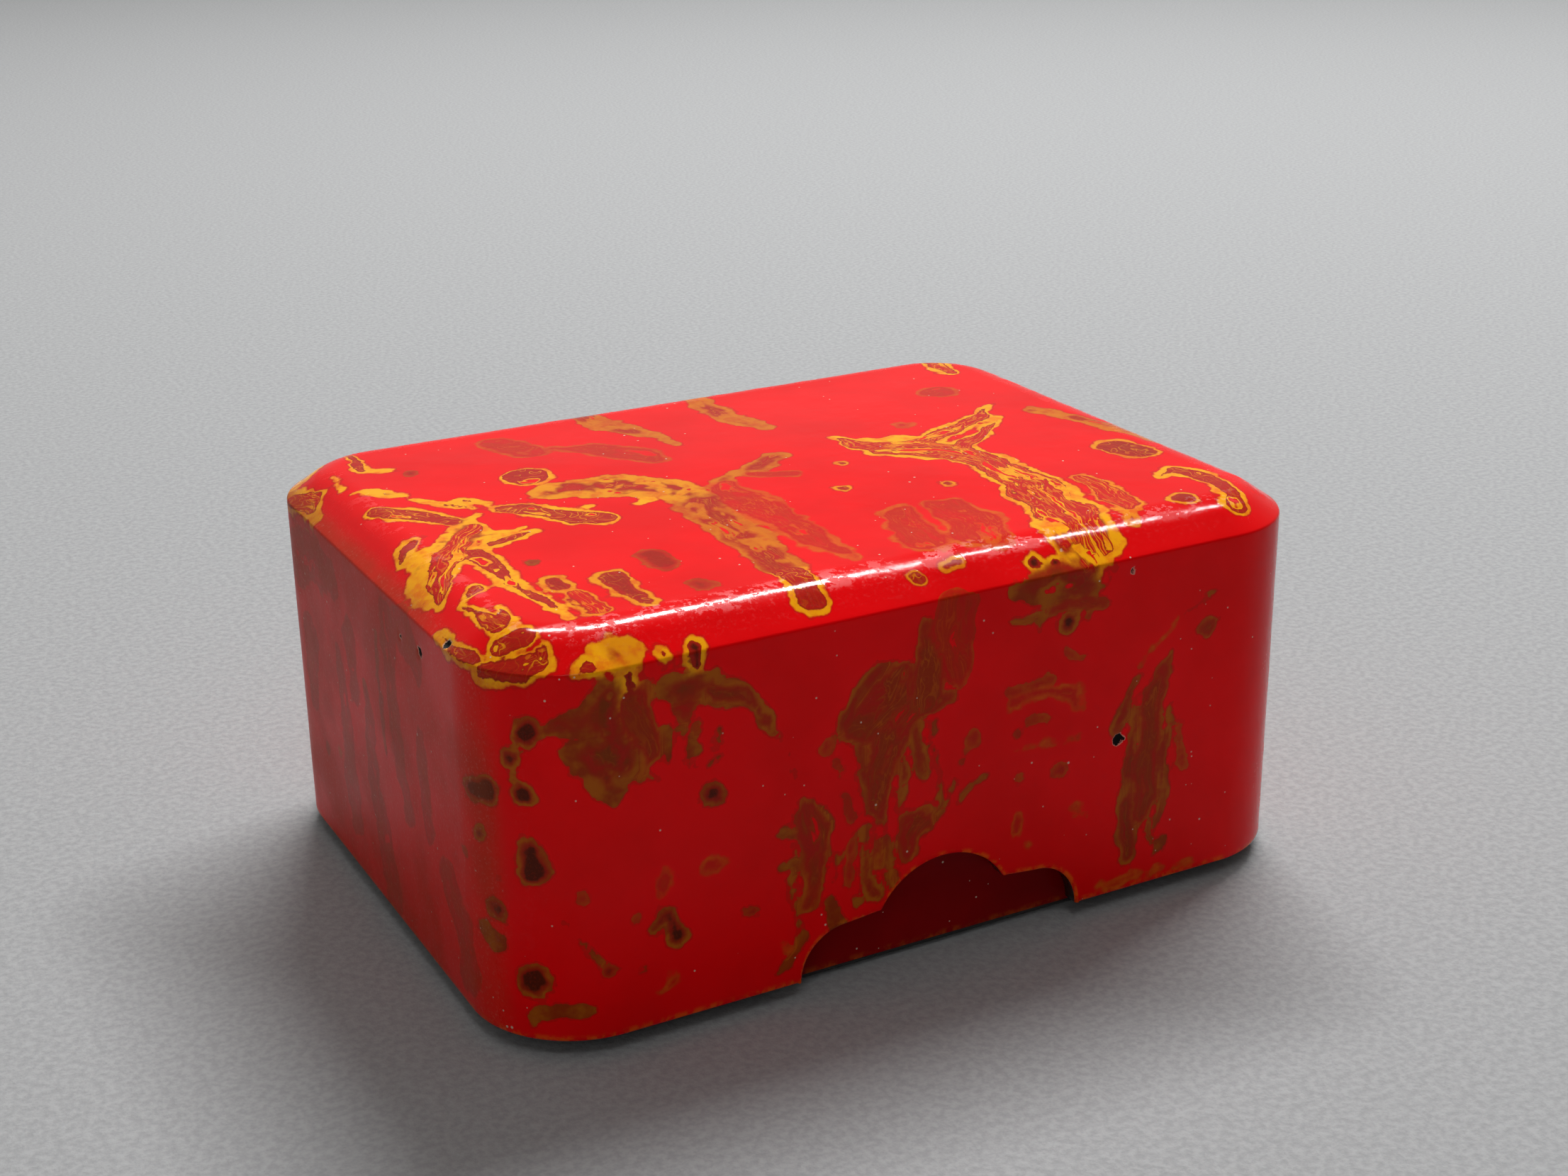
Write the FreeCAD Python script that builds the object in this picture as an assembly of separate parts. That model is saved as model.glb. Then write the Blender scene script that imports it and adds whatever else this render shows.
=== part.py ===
import FreeCAD, Part
import math
import os

# A small lacquered writing box for ink and brushes, with its lift-out tray and tools.
#
# A deep lid slips down over the whole box and rests with its ceiling on the box's rim, so its
# lower edge hangs 3 mm clear of the table. Each long side of the lid has a cusped finger notch.
# The lid, the box and the tray are joined the same way: four straight boards tongued into four
# round corner posts, and a rebated board that closes the ring. A loose board on the box's floor
# has wells for the inkstone and the water dropper. The tray above stands on two ledges and holds
# two brushes and an ink stick.
#
# Millimetres, +Z up, origin on the table under the middle of the box, X along its length, and the
# side usually seen towards -Y.

V = FreeCAD.Vector

# ---- driving dimensions: the lid
lid_length = 152.0
lid_width = 115.4
lid_corner_radius = 18.4
lid_wall = 3.6
lid_above_table = 3.0
ridge_height = 61.2             # lower edge to the crisp ridge where the crown begins
crown_slope_rise = 4.7          # the sloped band round the top
crown_slope_inset = 6.8
crown_shoulder_round = 6.0
seam_below_ridge = 1.0          # joint between the top board and the walls
lid_tongue = 1.0                # the top board's rebated middle, down inside the walls

# ---- the finger notch: a middle arch between two quarter-round shoulders
notch_shoulder_radius = 8.5
notch_shoulder_x = 18.2
notch_cusp_x = 11.8
notch_cusp_height = 9.1
notch_peak = 16.0

# ---- the box
slip_gap = 0.7                  # lid wall to box wall
box_wall = 3.4
box_floor_edge = 3.4            # the floor board's edge, seen under the walls
box_floor_tongue = 1.0
box_floor_bevel = 1.5           # eased lower edge

# ---- joints of the woodwork
tongue_share = 1 / 3            # of the wall's thickness
tongue_depth = 2.0
peg_thickness = 1.7
peg_length = 8.0
peg_cover = 0.4                 # ground coat over a peg's head

# ---- the loose board on the floor
seat_gap = 0.6
seat_thickness = 7.0
well_gap = 0.5
well_corner_radius = 5.0
stone_centre_x = -19.0
dropper_centre_x = 44.0

# ---- the tray and its ledges
tray_gap = 0.5
tray_wall = 2.4
tray_floor_edge = 1.4
tray_floor_tongue = 1.0
tray_floor_bevel = 0.6
tray_height = 22.5
tray_below_rim = 4.7
ledge_reach = 3.0
ledge_height = 6.0
ledge_length = 64.0
scoop_radius = 9.0
partition_thickness = 2.0
partition_height = 13.0
brush_trough = 26.0
ink_trough = 18.0
rest_thickness = 3.0
rest_below_axis = 1.0           # top of a brush rest under the brush's axis
rest_gap = 0.2
rest_left_x = -50.0
rest_right_x = 2.0

# ---- the tools
stone_length = 82.0
stone_width = 56.0
stone_height = 14.0
stone_corner_radius = 5.0
stone_rim = 4.5
stone_edge = 1.2                # bevel round the rim
land_depth = 2.2                # the grinding flat under the stone's rim
sea_depth = 8.0                 # the ink well at the stone's end
sea_length = 17.0
beach_length = 11.0             # the slope between the two

dropper_length = 26.0
dropper_width = 44.0
dropper_height = 15.0
dropper_wall = 1.0
dropper_corner_radius = 4.0
dropper_top_thickness = 1.2
air_hole_radius = 0.9
spout_radius = 1.6
spout_bore_radius = 0.8
spout_height = 2.4
spout_inset = 5.5

ink_length = 58.0
ink_width = 12.5
ink_height = 8.5
ink_edge_round = 1.0
ink_panel_border = 2.2
ink_panel_depth = 0.4
ink_wear_rise = 3.0             # how far the ground end is worn off square

brush_start_x = -64.6
brush_spacing = 10.5
brush_row_shift = 2.0           # the pair lies a little to the back of its trough
handle_length = 76.0
handle_radius = 3.2
handle_tail_radius = 2.4
handle_tail_length = 3.0
handle_node_rise = 0.3
handle_node_half = 1.2
handle_nodes = (34.0,)          # rings of the bamboo, from the tail
collar_length = 8.0
collar_radius = 3.4
collar_end_radius = 2.9
tip_length = 18.0
tip_radius = 2.9
tip_taper_start = 7.0
tip_point_radius = 0.25
cap_length = 27.0
cap_overlap = 3.0
cap_wall = 0.5
cap_gap = 0.25
cap_end = 2.0
cap_floor_gap = 0.3             # cap to the tray's floor

# ---- levels and outlines worked out from the above
ridge_z = lid_above_table + ridge_height
crown_z = ridge_z + crown_slope_rise
lid_seam_z = ridge_z - seam_below_ridge
rim_z = lid_seam_z - lid_tongue

box_length = lid_length - 2 * (lid_wall + slip_gap)
box_width = lid_width - 2 * (lid_wall + slip_gap)
box_corner_radius = lid_corner_radius - lid_wall - slip_gap
floor_z = box_floor_edge + box_floor_tongue
room_length = box_length - 2 * box_wall
room_width = box_width - 2 * box_wall
room_corner_radius = box_corner_radius - box_wall

tray_length = room_length - 2 * tray_gap
tray_width = room_width - 2 * tray_gap
tray_corner_radius = room_corner_radius - tray_gap
tray_rim_z = rim_z - tray_below_rim
tray_bottom_z = tray_rim_z - tray_height
tray_floor_z = tray_bottom_z + tray_floor_edge + tray_floor_tongue
tray_room_length = tray_length - 2 * tray_wall
trough_front_y = tray_wall - tray_width / 2
trough_back_y = trough_front_y + brush_trough
ink_front_y = trough_back_y + partition_thickness
ink_back_y = ink_front_y + ink_trough

cap_radius = collar_radius + cap_gap + cap_wall
brush_axis_z = tray_floor_z + cap_floor_gap + cap_radius
brush_axis_y = (trough_front_y + trough_back_y) / 2 + brush_row_shift


# ---- shared shapes
def block(x_range, y_range, z_range):
    """A plain board between two limits on each axis."""
    low = V(x_range[0], y_range[0], z_range[0])
    size = (x_range[1] - x_range[0], y_range[1] - y_range[0], z_range[1] - z_range[0])
    return Part.makeBox(*size, low)


def about(middle, size):
    """The two limits of a length centred on a place."""
    return (middle - size / 2, middle + size / 2)


def rounded_outline(length, width, radius, level, centre=(0.0, 0.0)):
    """A rectangle with round corners, as a closed wire at one level."""
    reach_x = length / 2 - radius
    reach_y = width / 2 - radius
    corners = ((1, -1, -90), (1, 1, 0), (-1, 1, 90), (-1, -1, 180))

    def on_corner(corner, turn):
        side_x, side_y, start = corner
        angle = math.radians(start + turn)
        x = centre[0] + side_x * reach_x + radius * math.cos(angle)
        y = centre[1] + side_y * reach_y + radius * math.sin(angle)
        return V(x, y, level)

    edges = []
    for here, after in zip(corners, corners[1:] + corners[:1]):
        arc = Part.Arc(on_corner(here, 0), on_corner(here, 45), on_corner(here, 90))
        edges.append(arc.toShape())
        edges.append(Part.makeLine(on_corner(here, 90), on_corner(after, 0)))
    return Part.Wire(edges)


def rounded_plate(length, width, radius, bottom, top, centre=(0.0, 0.0)):
    outline = rounded_outline(length, width, radius, bottom, centre)
    return Part.Face(outline).extrude(V(0, 0, top - bottom))


def edges_between(shape, low, high):
    """The edges that lie wholly between two levels."""
    return [edge for edge in shape.Edges
            if edge.BoundBox.ZMin > low and edge.BoundBox.ZMax < high]


def edges_at(shape, level, slack=0.01):
    return edges_between(shape, level - slack, level + slack)


def revolved(outline, axis_y, axis_z):
    """Turn a closed outline of (x, radius) points once round a line along X."""
    points = [V(x, axis_y + radius, axis_z) for x, radius in outline]
    wire = Part.makePolygon(points + points[:1])
    return Part.Face(wire).revolve(V(0, axis_y, axis_z), V(1, 0, 0), 360)


def peg(x, y, bottom):
    """A square peg split from bamboo."""
    return block(about(x, peg_thickness), about(y, peg_thickness), (bottom, bottom + peg_length))


def corner_places(length, width, radius, wall):
    """The middle of the wall on the diagonal of each round corner."""
    out = (radius - wall / 2) * math.sqrt(0.5)
    x = length / 2 - radius + out
    y = width / 2 - radius + out
    return [(side_x * x, side_y * y) for side_x in (-1, 1) for side_y in (-1, 1)]


def jointed_ring(length, width, radius, wall, bottom, top):
    """Four straight boards, each with a tongue at both ends, and the four grooved corner posts."""
    half_long = length / 2 - radius
    half_short = width / 2 - radius
    level = (bottom, top)
    tongue = wall * tongue_share
    boards = {}
    for name, side in (("front", -1), ("back", 1)):
        middle = side * (width - wall) / 2
        board = block((-half_long, half_long), about(middle, wall), level)
        reach = half_long + tongue_depth
        boards[name] = board.fuse(block((-reach, reach), about(middle, tongue), level))
    for name, side in (("left", -1), ("right", 1)):
        middle = side * (length - wall) / 2
        board = block(about(middle, wall), (-half_short, half_short), level)
        reach = half_short + tongue_depth
        boards[name] = board.fuse(block(about(middle, tongue), (-reach, reach), level))

    outer = rounded_plate(length, width, radius, bottom, top)
    inner = rounded_plate(length - 2 * wall, width - 2 * wall, radius - wall, bottom, top)
    posts = outer.cut(inner)
    posts = posts.cut(block((-half_long, half_long), (-width, width), level))
    posts = posts.cut(block((-length, length), (-half_short, half_short), level))
    posts = posts.cut(Part.Compound(list(boards.values())))
    rings = {name: board.removeSplitter() for name, board in boards.items()}
    rings["posts"] = Part.Compound(posts.Solids)
    return rings


def rebated_floor(length, width, radius, wall, bottom, edge, tongue, bevel):
    """A floor board under the ring of walls, with its raised middle fitted inside them."""
    board = rounded_plate(length, width, radius, bottom, bottom + edge)
    board = board.makeChamfer(bevel, edges_at(board, bottom))
    middle = rounded_plate(length - 2 * wall, width - 2 * wall, radius - wall,
                           bottom + edge, bottom + edge + tongue)
    return board.fuse(middle).removeSplitter()


# ---- the lid
def notch_cutter():
    """The finger notch's outline, cut straight through both long walls of the lid."""
    foot = lid_above_table

    def at(x, height):
        return V(x, -lid_width, foot + height)

    edge_x = notch_shoulder_x + notch_shoulder_radius
    diagonal = notch_shoulder_radius * math.sqrt(0.5)
    right_shoulder = Part.Arc(at(edge_x, 0), at(notch_shoulder_x + diagonal, diagonal),
                              at(notch_shoulder_x, notch_shoulder_radius))
    left_shoulder = Part.Arc(at(-notch_shoulder_x, notch_shoulder_radius),
                             at(-notch_shoulder_x - diagonal, diagonal), at(-edge_x, 0))
    arch = Part.Arc(at(notch_cusp_x, notch_cusp_height), at(0, notch_peak),
                    at(-notch_cusp_x, notch_cusp_height))
    below = -1.0
    edges = [
        Part.makeLine(at(edge_x, below), at(edge_x, 0)),
        right_shoulder.toShape(),
        Part.makeLine(at(notch_shoulder_x, notch_shoulder_radius),
                      at(notch_cusp_x, notch_cusp_height)),
        arch.toShape(),
        Part.makeLine(at(-notch_cusp_x, notch_cusp_height),
                      at(-notch_shoulder_x, notch_shoulder_radius)),
        left_shoulder.toShape(),
        Part.makeLine(at(-edge_x, 0), at(-edge_x, below)),
        Part.makeLine(at(-edge_x, below), at(edge_x, below)),
    ]
    return Part.Face(Part.Wire(edges)).extrude(V(0, 2 * lid_width, 0))


def crowned_top():
    """The top board: a short upright edge, a crisp ridge, a sloped band and a rounded shoulder."""
    board = rounded_plate(lid_length, lid_width, lid_corner_radius, lid_seam_z, crown_z)
    board = board.makeChamfer(crown_slope_rise, crown_slope_inset, edges_at(board, crown_z))
    board = board.makeFillet(crown_shoulder_round, edges_at(board, crown_z))
    rebate = rounded_plate(lid_length - 2 * lid_wall, lid_width - 2 * lid_wall,
                           lid_corner_radius - lid_wall, rim_z, lid_seam_z)
    return board.fuse(rebate).removeSplitter().Solids[0]


def make_lid():
    ring = jointed_ring(lid_length, lid_width, lid_corner_radius, lid_wall,
                        lid_above_table, lid_seam_z)
    notch = notch_cutter()
    peg_bottom = lid_seam_z + seam_below_ridge - peg_cover - peg_length
    pegs = Part.Compound([peg(x, y, peg_bottom) for x, y in
                          corner_places(lid_length, lid_width, lid_corner_radius, lid_wall)])
    return {
        "lid_top_board": crowned_top().cut(pegs),
        "lid_front_wall": ring["front"].cut(notch),
        "lid_back_wall": ring["back"].cut(notch),
        "lid_left_wall": ring["left"],
        "lid_right_wall": ring["right"],
        "lid_corner_posts": ring["posts"].cut(pegs),
        "lid_pegs": pegs,
    }


# ---- the box
def make_box():
    ring = jointed_ring(box_length, box_width, box_corner_radius, box_wall,
                        box_floor_edge, rim_z)
    floor = rebated_floor(box_length, box_width, box_corner_radius, box_wall, 0.0,
                          box_floor_edge, box_floor_tongue, box_floor_bevel)
    pegs = Part.Compound([peg(x, y, peg_cover) for x, y in
                          corner_places(box_length, box_width, box_corner_radius, box_wall)])
    nodes = {
        "box_floor_board": floor.cut(pegs),
        "box_front_wall": ring["front"],
        "box_back_wall": ring["back"],
        "box_left_wall": ring["left"],
        "box_right_wall": ring["right"],
        "box_corner_posts": ring["posts"].cut(pegs),
        "box_floor_pegs": pegs,
    }
    ledge_level = (tray_bottom_z - ledge_height, tray_bottom_z)
    for name, side in (("left", -1), ("right", 1)):
        middle = side * (room_length - ledge_reach) / 2
        ledge = block(about(middle, ledge_reach), about(0, ledge_length), ledge_level)
        upright = [edge for edge in ledge.Edges if edge.BoundBox.ZLength > ledge_height / 2
                   and side * edge.BoundBox.Center.x < room_length / 2 - ledge_reach / 2]
        nodes["tray_ledge_" + name] = ledge.makeFillet(ledge_reach / 2, upright)
    return nodes


def make_seat_board():
    """The loose board that keeps the stone and the dropper in their places.

    Its ends are cut back where the tray's ledges stand over them, so it lifts out past them.
    """
    board = rounded_plate(room_length - 2 * seat_gap, room_width - 2 * seat_gap,
                          room_corner_radius - seat_gap, floor_z, floor_z + seat_thickness)
    top = floor_z + seat_thickness
    cut_back = ledge_reach + seat_gap
    for side in (-1, 1):
        end = block(about(side * (room_length - cut_back) / 2, cut_back),
                    about(0, ledge_length + 2 * seat_gap), (floor_z, top))
        board = board.cut(end)
    wells = ((stone_centre_x, stone_length, stone_width),
             (dropper_centre_x, dropper_length, dropper_width))
    for x, length, width in wells:
        well = rounded_plate(length + 2 * well_gap, width + 2 * well_gap,
                             well_corner_radius, floor_z, top, (x, 0.0))
        board = board.cut(well)
    return board


# ---- the tray
def make_tray():
    ring = jointed_ring(tray_length, tray_width, tray_corner_radius, tray_wall,
                        tray_bottom_z + tray_floor_edge, tray_rim_z)
    floor = rebated_floor(tray_length, tray_width, tray_corner_radius, tray_wall,
                          tray_bottom_z, tray_floor_edge, tray_floor_tongue, tray_floor_bevel)
    scoop = Part.makeCylinder(scoop_radius, 2 * tray_length, V(-tray_length, 0, tray_rim_z),
                              V(1, 0, 0))
    across = about(0, tray_room_length)
    partition_level = (tray_floor_z, tray_floor_z + partition_height)
    nodes = {
        "tray_floor_board": floor,
        "tray_front_wall": ring["front"],
        "tray_back_wall": ring["back"],
        "tray_left_wall": ring["left"].cut(scoop),
        "tray_right_wall": ring["right"].cut(scoop),
        "tray_corner_posts": ring["posts"],
        "brush_partition": block(across, (trough_back_y, ink_front_y), partition_level),
        "ink_partition": block(across, (ink_back_y, ink_back_y + partition_thickness),
                               partition_level),
    }
    for name, x in (("left", rest_left_x), ("right", rest_right_x)):
        nodes["brush_rest_" + name] = brush_rest(x)
    return nodes


def brush_rest(x):
    """A low bar across the trough, with a round seat for each brush."""
    bar = block(about(x, rest_thickness), (trough_front_y, trough_back_y),
                (tray_floor_z, brush_axis_z - rest_below_axis))
    for y in brush_rows():
        seat = Part.makeCylinder(handle_radius + rest_gap, 2 * rest_thickness,
                                 V(x - rest_thickness, y, brush_axis_z), V(1, 0, 0))
        bar = bar.cut(seat)
    return bar


# ---- the tools
def make_inkstone():
    """A slate with a raised rim, a grinding flat, a slope and a well for the ink at one end."""
    top = floor_z + stone_height
    place = (stone_centre_x, 0.0)
    slab = rounded_plate(stone_length, stone_width, stone_corner_radius, floor_z, top, place)
    slab = slab.makeChamfer(stone_edge, edges_at(slab, top))
    hollow = rounded_plate(stone_length - 2 * stone_rim, stone_width - 2 * stone_rim,
                           stone_corner_radius, floor_z, top + 1, place)
    left = stone_centre_x - stone_length / 2
    right = stone_centre_x + stone_length / 2
    sea_end = left + stone_rim + sea_length
    land_start = sea_end + beach_length

    def at(x, depth):
        return V(x, -stone_width, top - depth)

    slope_sag = 0.8             # the beach is dished a little below a straight slope
    beach = Part.Arc(at(sea_end, sea_depth),
                     at((sea_end + land_start) / 2, (sea_depth + land_depth) / 2 + slope_sag),
                     at(land_start, land_depth))
    edges = [
        Part.makeLine(at(left, sea_depth), at(sea_end, sea_depth)),
        beach.toShape(),
        Part.makeLine(at(land_start, land_depth), at(right, land_depth)),
        Part.makeLine(at(right, land_depth), at(right, -2)),
        Part.makeLine(at(right, -2), at(left, -2)),
        Part.makeLine(at(left, -2), at(left, sea_depth)),
    ]
    above_bed = Part.Face(Part.Wire(edges)).extrude(V(0, 2 * stone_width, 0))
    return slab.cut(hollow.common(above_bed)).Solids[0]


def make_dropper():
    """A little metal water box: a shell, a lid plate soldered on, and a spout in one corner."""
    place = (dropper_centre_x, 0.0)
    wall_top = floor_z + dropper_height - dropper_top_thickness
    shell = rounded_plate(dropper_length, dropper_width, dropper_corner_radius,
                          floor_z, wall_top, place)
    inside = rounded_plate(dropper_length - 2 * dropper_wall, dropper_width - 2 * dropper_wall,
                           dropper_corner_radius - dropper_wall, floor_z + dropper_wall,
                           wall_top, place)
    top = wall_top + dropper_top_thickness
    plate = rounded_plate(dropper_length, dropper_width, dropper_corner_radius,
                          wall_top, top, place)
    plate = plate.cut(Part.makeCylinder(air_hole_radius, 10, V(*place, wall_top - 1)))
    spout_x = dropper_centre_x - dropper_length / 2 + spout_inset
    spout_y = spout_inset - dropper_width / 2
    plate = plate.cut(Part.makeCylinder(spout_radius, 10, V(spout_x, spout_y, wall_top - 1)))
    spout_length = dropper_top_thickness + spout_height
    spout = Part.makeCylinder(spout_radius, spout_length, V(spout_x, spout_y, wall_top))
    spout = spout.cut(Part.makeCylinder(spout_bore_radius, spout_length,
                                        V(spout_x, spout_y, wall_top)))
    return {
        "dropper_body": shell.cut(inside),
        "dropper_top": plate,
        "dropper_spout": spout,
    }


def make_ink_stick():
    """A moulded bar with a sunk panel on its top, one end worn slanting from grinding."""
    middle_y = (ink_front_y + ink_back_y) / 2
    top = tray_floor_z + ink_height
    stick = block(about(0, ink_length), about(middle_y, ink_width), (tray_floor_z, top))
    long_edges = [edge for edge in stick.Edges if edge.BoundBox.XLength > ink_length / 2]
    stick = stick.makeFillet(ink_edge_round, long_edges)
    panel = rounded_plate(ink_length - 4 * ink_panel_border, ink_width - 2 * ink_panel_border,
                          ink_edge_round, top - ink_panel_depth, top + 1, (0.0, middle_y))
    end = ink_length / 2
    worn = Part.makePolygon([
        V(end, middle_y - ink_width, top + 1),
        V(end - ink_wear_rise, middle_y - ink_width, top + 1),
        V(end, middle_y - ink_width, tray_floor_z),
        V(end, middle_y - ink_width, top + 1),
    ])
    return stick.cut(panel).cut(Part.Face(worn).extrude(V(0, 2 * ink_width, 0)))


def brush_rows():
    return (brush_axis_y - brush_spacing / 2, brush_axis_y + brush_spacing / 2)


def make_brush(axis_y):
    """A bamboo handle, a horn collar, a pointed hair tip and the cap that covers the tip."""
    collar_x = brush_start_x + handle_length
    tip_x = collar_x + collar_length
    cap_x = tip_x - cap_overlap
    handle = [(brush_start_x, 0), (brush_start_x, handle_tail_radius),
              (brush_start_x + handle_tail_length, handle_radius)]
    for node in handle_nodes:
        x = brush_start_x + node
        handle += [(x - handle_node_half, handle_radius),
                   (x, handle_radius + handle_node_rise),
                   (x + handle_node_half, handle_radius)]
    handle += [(collar_x, handle_radius), (collar_x, 0)]
    collar = [(collar_x, 0), (collar_x, collar_radius), (tip_x - 1, collar_radius),
              (tip_x, collar_end_radius), (tip_x, 0)]
    tip = [(tip_x, 0), (tip_x, tip_radius), (tip_x + tip_taper_start, tip_radius),
           (tip_x + tip_length, tip_point_radius), (tip_x + tip_length, 0)]
    cap_inner = cap_radius - cap_wall
    cap_far = cap_x + cap_length
    cap = [(cap_x, cap_inner), (cap_x, cap_radius), (cap_far, cap_radius), (cap_far, 0),
           (cap_far - cap_end, 0), (cap_far - cap_end, cap_inner)]
    outlines = {"handle": handle, "collar": collar, "tip": tip, "cap": cap}
    return {name: revolved(outline, axis_y, brush_axis_z) for name, outline in outlines.items()}


# ---- every node, one file each
nodes = {}
nodes.update(make_lid())
nodes.update(make_box())
nodes["seat_board"] = make_seat_board()
nodes["inkstone"] = make_inkstone()
nodes.update(make_dropper())
nodes.update(make_tray())
nodes["ink_stick"] = make_ink_stick()
for row_name, row_y in zip(("front_brush", "rear_brush"), brush_rows()):
    for piece_name, piece in make_brush(row_y).items():
        nodes[row_name + "_" + piece_name] = piece

os.makedirs("parts", exist_ok=True)
for node_name, shape in nodes.items():
    if not shape.isValid():
        raise ValueError(node_name + " is not a valid shape")
    shape.exportStep("parts/" + node_name + ".step")
    print(node_name, len(shape.Solids), "solid(s)", round(shape.Volume), "mm3")
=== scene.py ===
import bpy
import bmesh
import math
import random
import numpy as np
from mathutils import Matrix, Vector, noise


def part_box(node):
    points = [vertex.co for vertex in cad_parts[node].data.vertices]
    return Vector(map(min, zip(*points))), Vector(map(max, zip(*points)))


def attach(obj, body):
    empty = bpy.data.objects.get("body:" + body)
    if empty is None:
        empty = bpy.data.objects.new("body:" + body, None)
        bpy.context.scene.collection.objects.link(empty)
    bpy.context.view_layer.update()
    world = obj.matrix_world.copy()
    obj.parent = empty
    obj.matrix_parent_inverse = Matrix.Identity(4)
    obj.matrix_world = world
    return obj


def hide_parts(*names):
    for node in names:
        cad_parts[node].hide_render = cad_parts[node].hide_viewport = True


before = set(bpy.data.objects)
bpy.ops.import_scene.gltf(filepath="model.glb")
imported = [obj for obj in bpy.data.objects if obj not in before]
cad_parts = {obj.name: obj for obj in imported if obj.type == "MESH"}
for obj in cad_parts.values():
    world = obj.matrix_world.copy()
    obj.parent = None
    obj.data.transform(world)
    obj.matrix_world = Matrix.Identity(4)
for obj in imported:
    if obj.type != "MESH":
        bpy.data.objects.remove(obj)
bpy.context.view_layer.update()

# A small writing box in red marbled lacquer, with its tray, inkstone, water dropper, ink stick
# and two capped brushes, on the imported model's frame. In the dictionaries a length times mm is
# in metres, and a plain one is in mm.

mm = 0.001
noise.seed_set(7)
print("frame loaded,", len(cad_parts), "nodes")

meshing = {
    "samePoint": 1e-7,              # metres apart at which two points are one, in a new mesh,
    "sameSpun": 1e-6,               # in a turned one
    "sameCopied": 2e-6,             # and in a node's copy
    "flatTurn": 0.5,                # degrees
    "sharpTurn": 30,
}


def addPiece(name, bm, body, nodes, slot, *materials):
    # a finished mesh becomes a piece that rides on its body and stands for its nodes
    bmesh.ops.remove_doubles(bm, verts=bm.verts, dist=meshing["samePoint"])
    bmesh.ops.recalc_face_normals(bm, faces=bm.faces)
    mesh = bpy.data.meshes.new(name)
    bm.to_mesh(mesh)
    bm.free()
    for material in materials:
        mesh.materials.append(material)
    mesh.shade_smooth()
    piece = bpy.data.objects.new(name, mesh)
    bpy.context.scene.collection.objects.link(piece)
    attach(piece, body)
    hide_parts(*nodes)
    return piece


def easedCopy(node, ease, segments=2):
    # a welded copy of a node's mesh, its corners eased by some mm and each eased strip worn
    bm = bmesh.new()
    bm.from_mesh(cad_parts[node].data)
    bmesh.ops.remove_doubles(bm, verts=bm.verts, dist=meshing["sameCopied"])
    bmesh.ops.dissolve_limit(bm, angle_limit=math.radians(meshing["flatTurn"]), verts=bm.verts,
                             edges=bm.edges)
    worn = bm.loops.layers.float.new("worn")
    sharp = [edge for edge in bm.edges if len(edge.link_faces) == 2
             and edge.calc_face_angle(0) > math.radians(meshing["sharpTurn"])]
    made = bmesh.ops.bevel(bm, geom=sharp, offset=ease * mm, segments=segments, profile=0.5,
                           affect="EDGES", material=-1, clamp_overlap=True)
    eased = set(made["faces"])
    for face in eased:
        for loop in face.loops:
            loop[worn] = 1.0
        for edge in face.edges:
            edge.smooth = all(other in eased for other in edge.link_faces)
    bmesh.ops.triangulate(bm, faces=[face for face in bm.faces if len(face.verts) > 4])
    return bm


def evenly(start, end, count):
    return [start + (end - start) * i / count for i in range(count + 1)]


def arcPoints(centre, radius, startTurn, endTurn, steps):
    return [(centre[0] + radius * math.cos(turn), centre[1] + radius * math.sin(turn))
            for turn in evenly(startTurn, endTurn, steps)]


def smoothStep(value, low, high):
    share = min(1.0, max(0.0, (value - low) / (high - low)))
    return share * share * (3 - 2 * share)


def turned(profile, centre, steps, axis="X"):
    # a profile of (along, radius) in mm spun round an axis through a centre in metres
    bm = bmesh.new()
    verts = [bm.verts.new((along * mm, 0, radius * mm)) for along, radius in profile]
    edges = [bm.edges.new(pair) for pair in zip(verts, verts[1:])]
    bmesh.ops.spin(bm, geom=verts + edges, cent=(0, 0, 0), axis=(1, 0, 0), dvec=(0, 0, 0),
                   angle=2 * math.pi, steps=steps, use_merge=True, use_duplicate=False)
    bmesh.ops.remove_doubles(bm, verts=bm.verts, dist=meshing["sameSpun"])
    if axis == "Z":
        bmesh.ops.rotate(bm, verts=bm.verts, cent=(0, 0, 0),
                         matrix=Matrix.Rotation(-math.pi / 2, 3, "Y"))
    bmesh.ops.translate(bm, verts=bm.verts, vec=centre)
    return bm


# Round-cornered skins: a gridded cap, rings down over its edge, the walls, then a rim or a foot

def skinSize(node, rimUp):
    # what a skin takes over from its node; its rim faces up (1) or down (-1)
    low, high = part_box(node)
    return {
        "length": high[0] - low[0],
        "width": high[1] - low[1],
        "centreX": (low[0] + high[0]) / 2,
        "centreY": (low[1] + high[1]) / 2,
        "low": low[2],
        "high": high[2],
        "rimUp": rimUp,
        "rimLevel": high[2] if rimUp > 0 else low[2],
    }


def cornerPoint(spec, turn, sideX, sideY):
    # a point of one round corner and the way out from it
    reach = Vector((spec["length"] / 2 - spec["radius"], spec["width"] / 2 - spec["radius"]))
    out = Vector((math.cos(turn), math.sin(turn)))
    return Vector((sideX * reach.x, sideY * reach.y)) + out * spec["radius"], out


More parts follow.
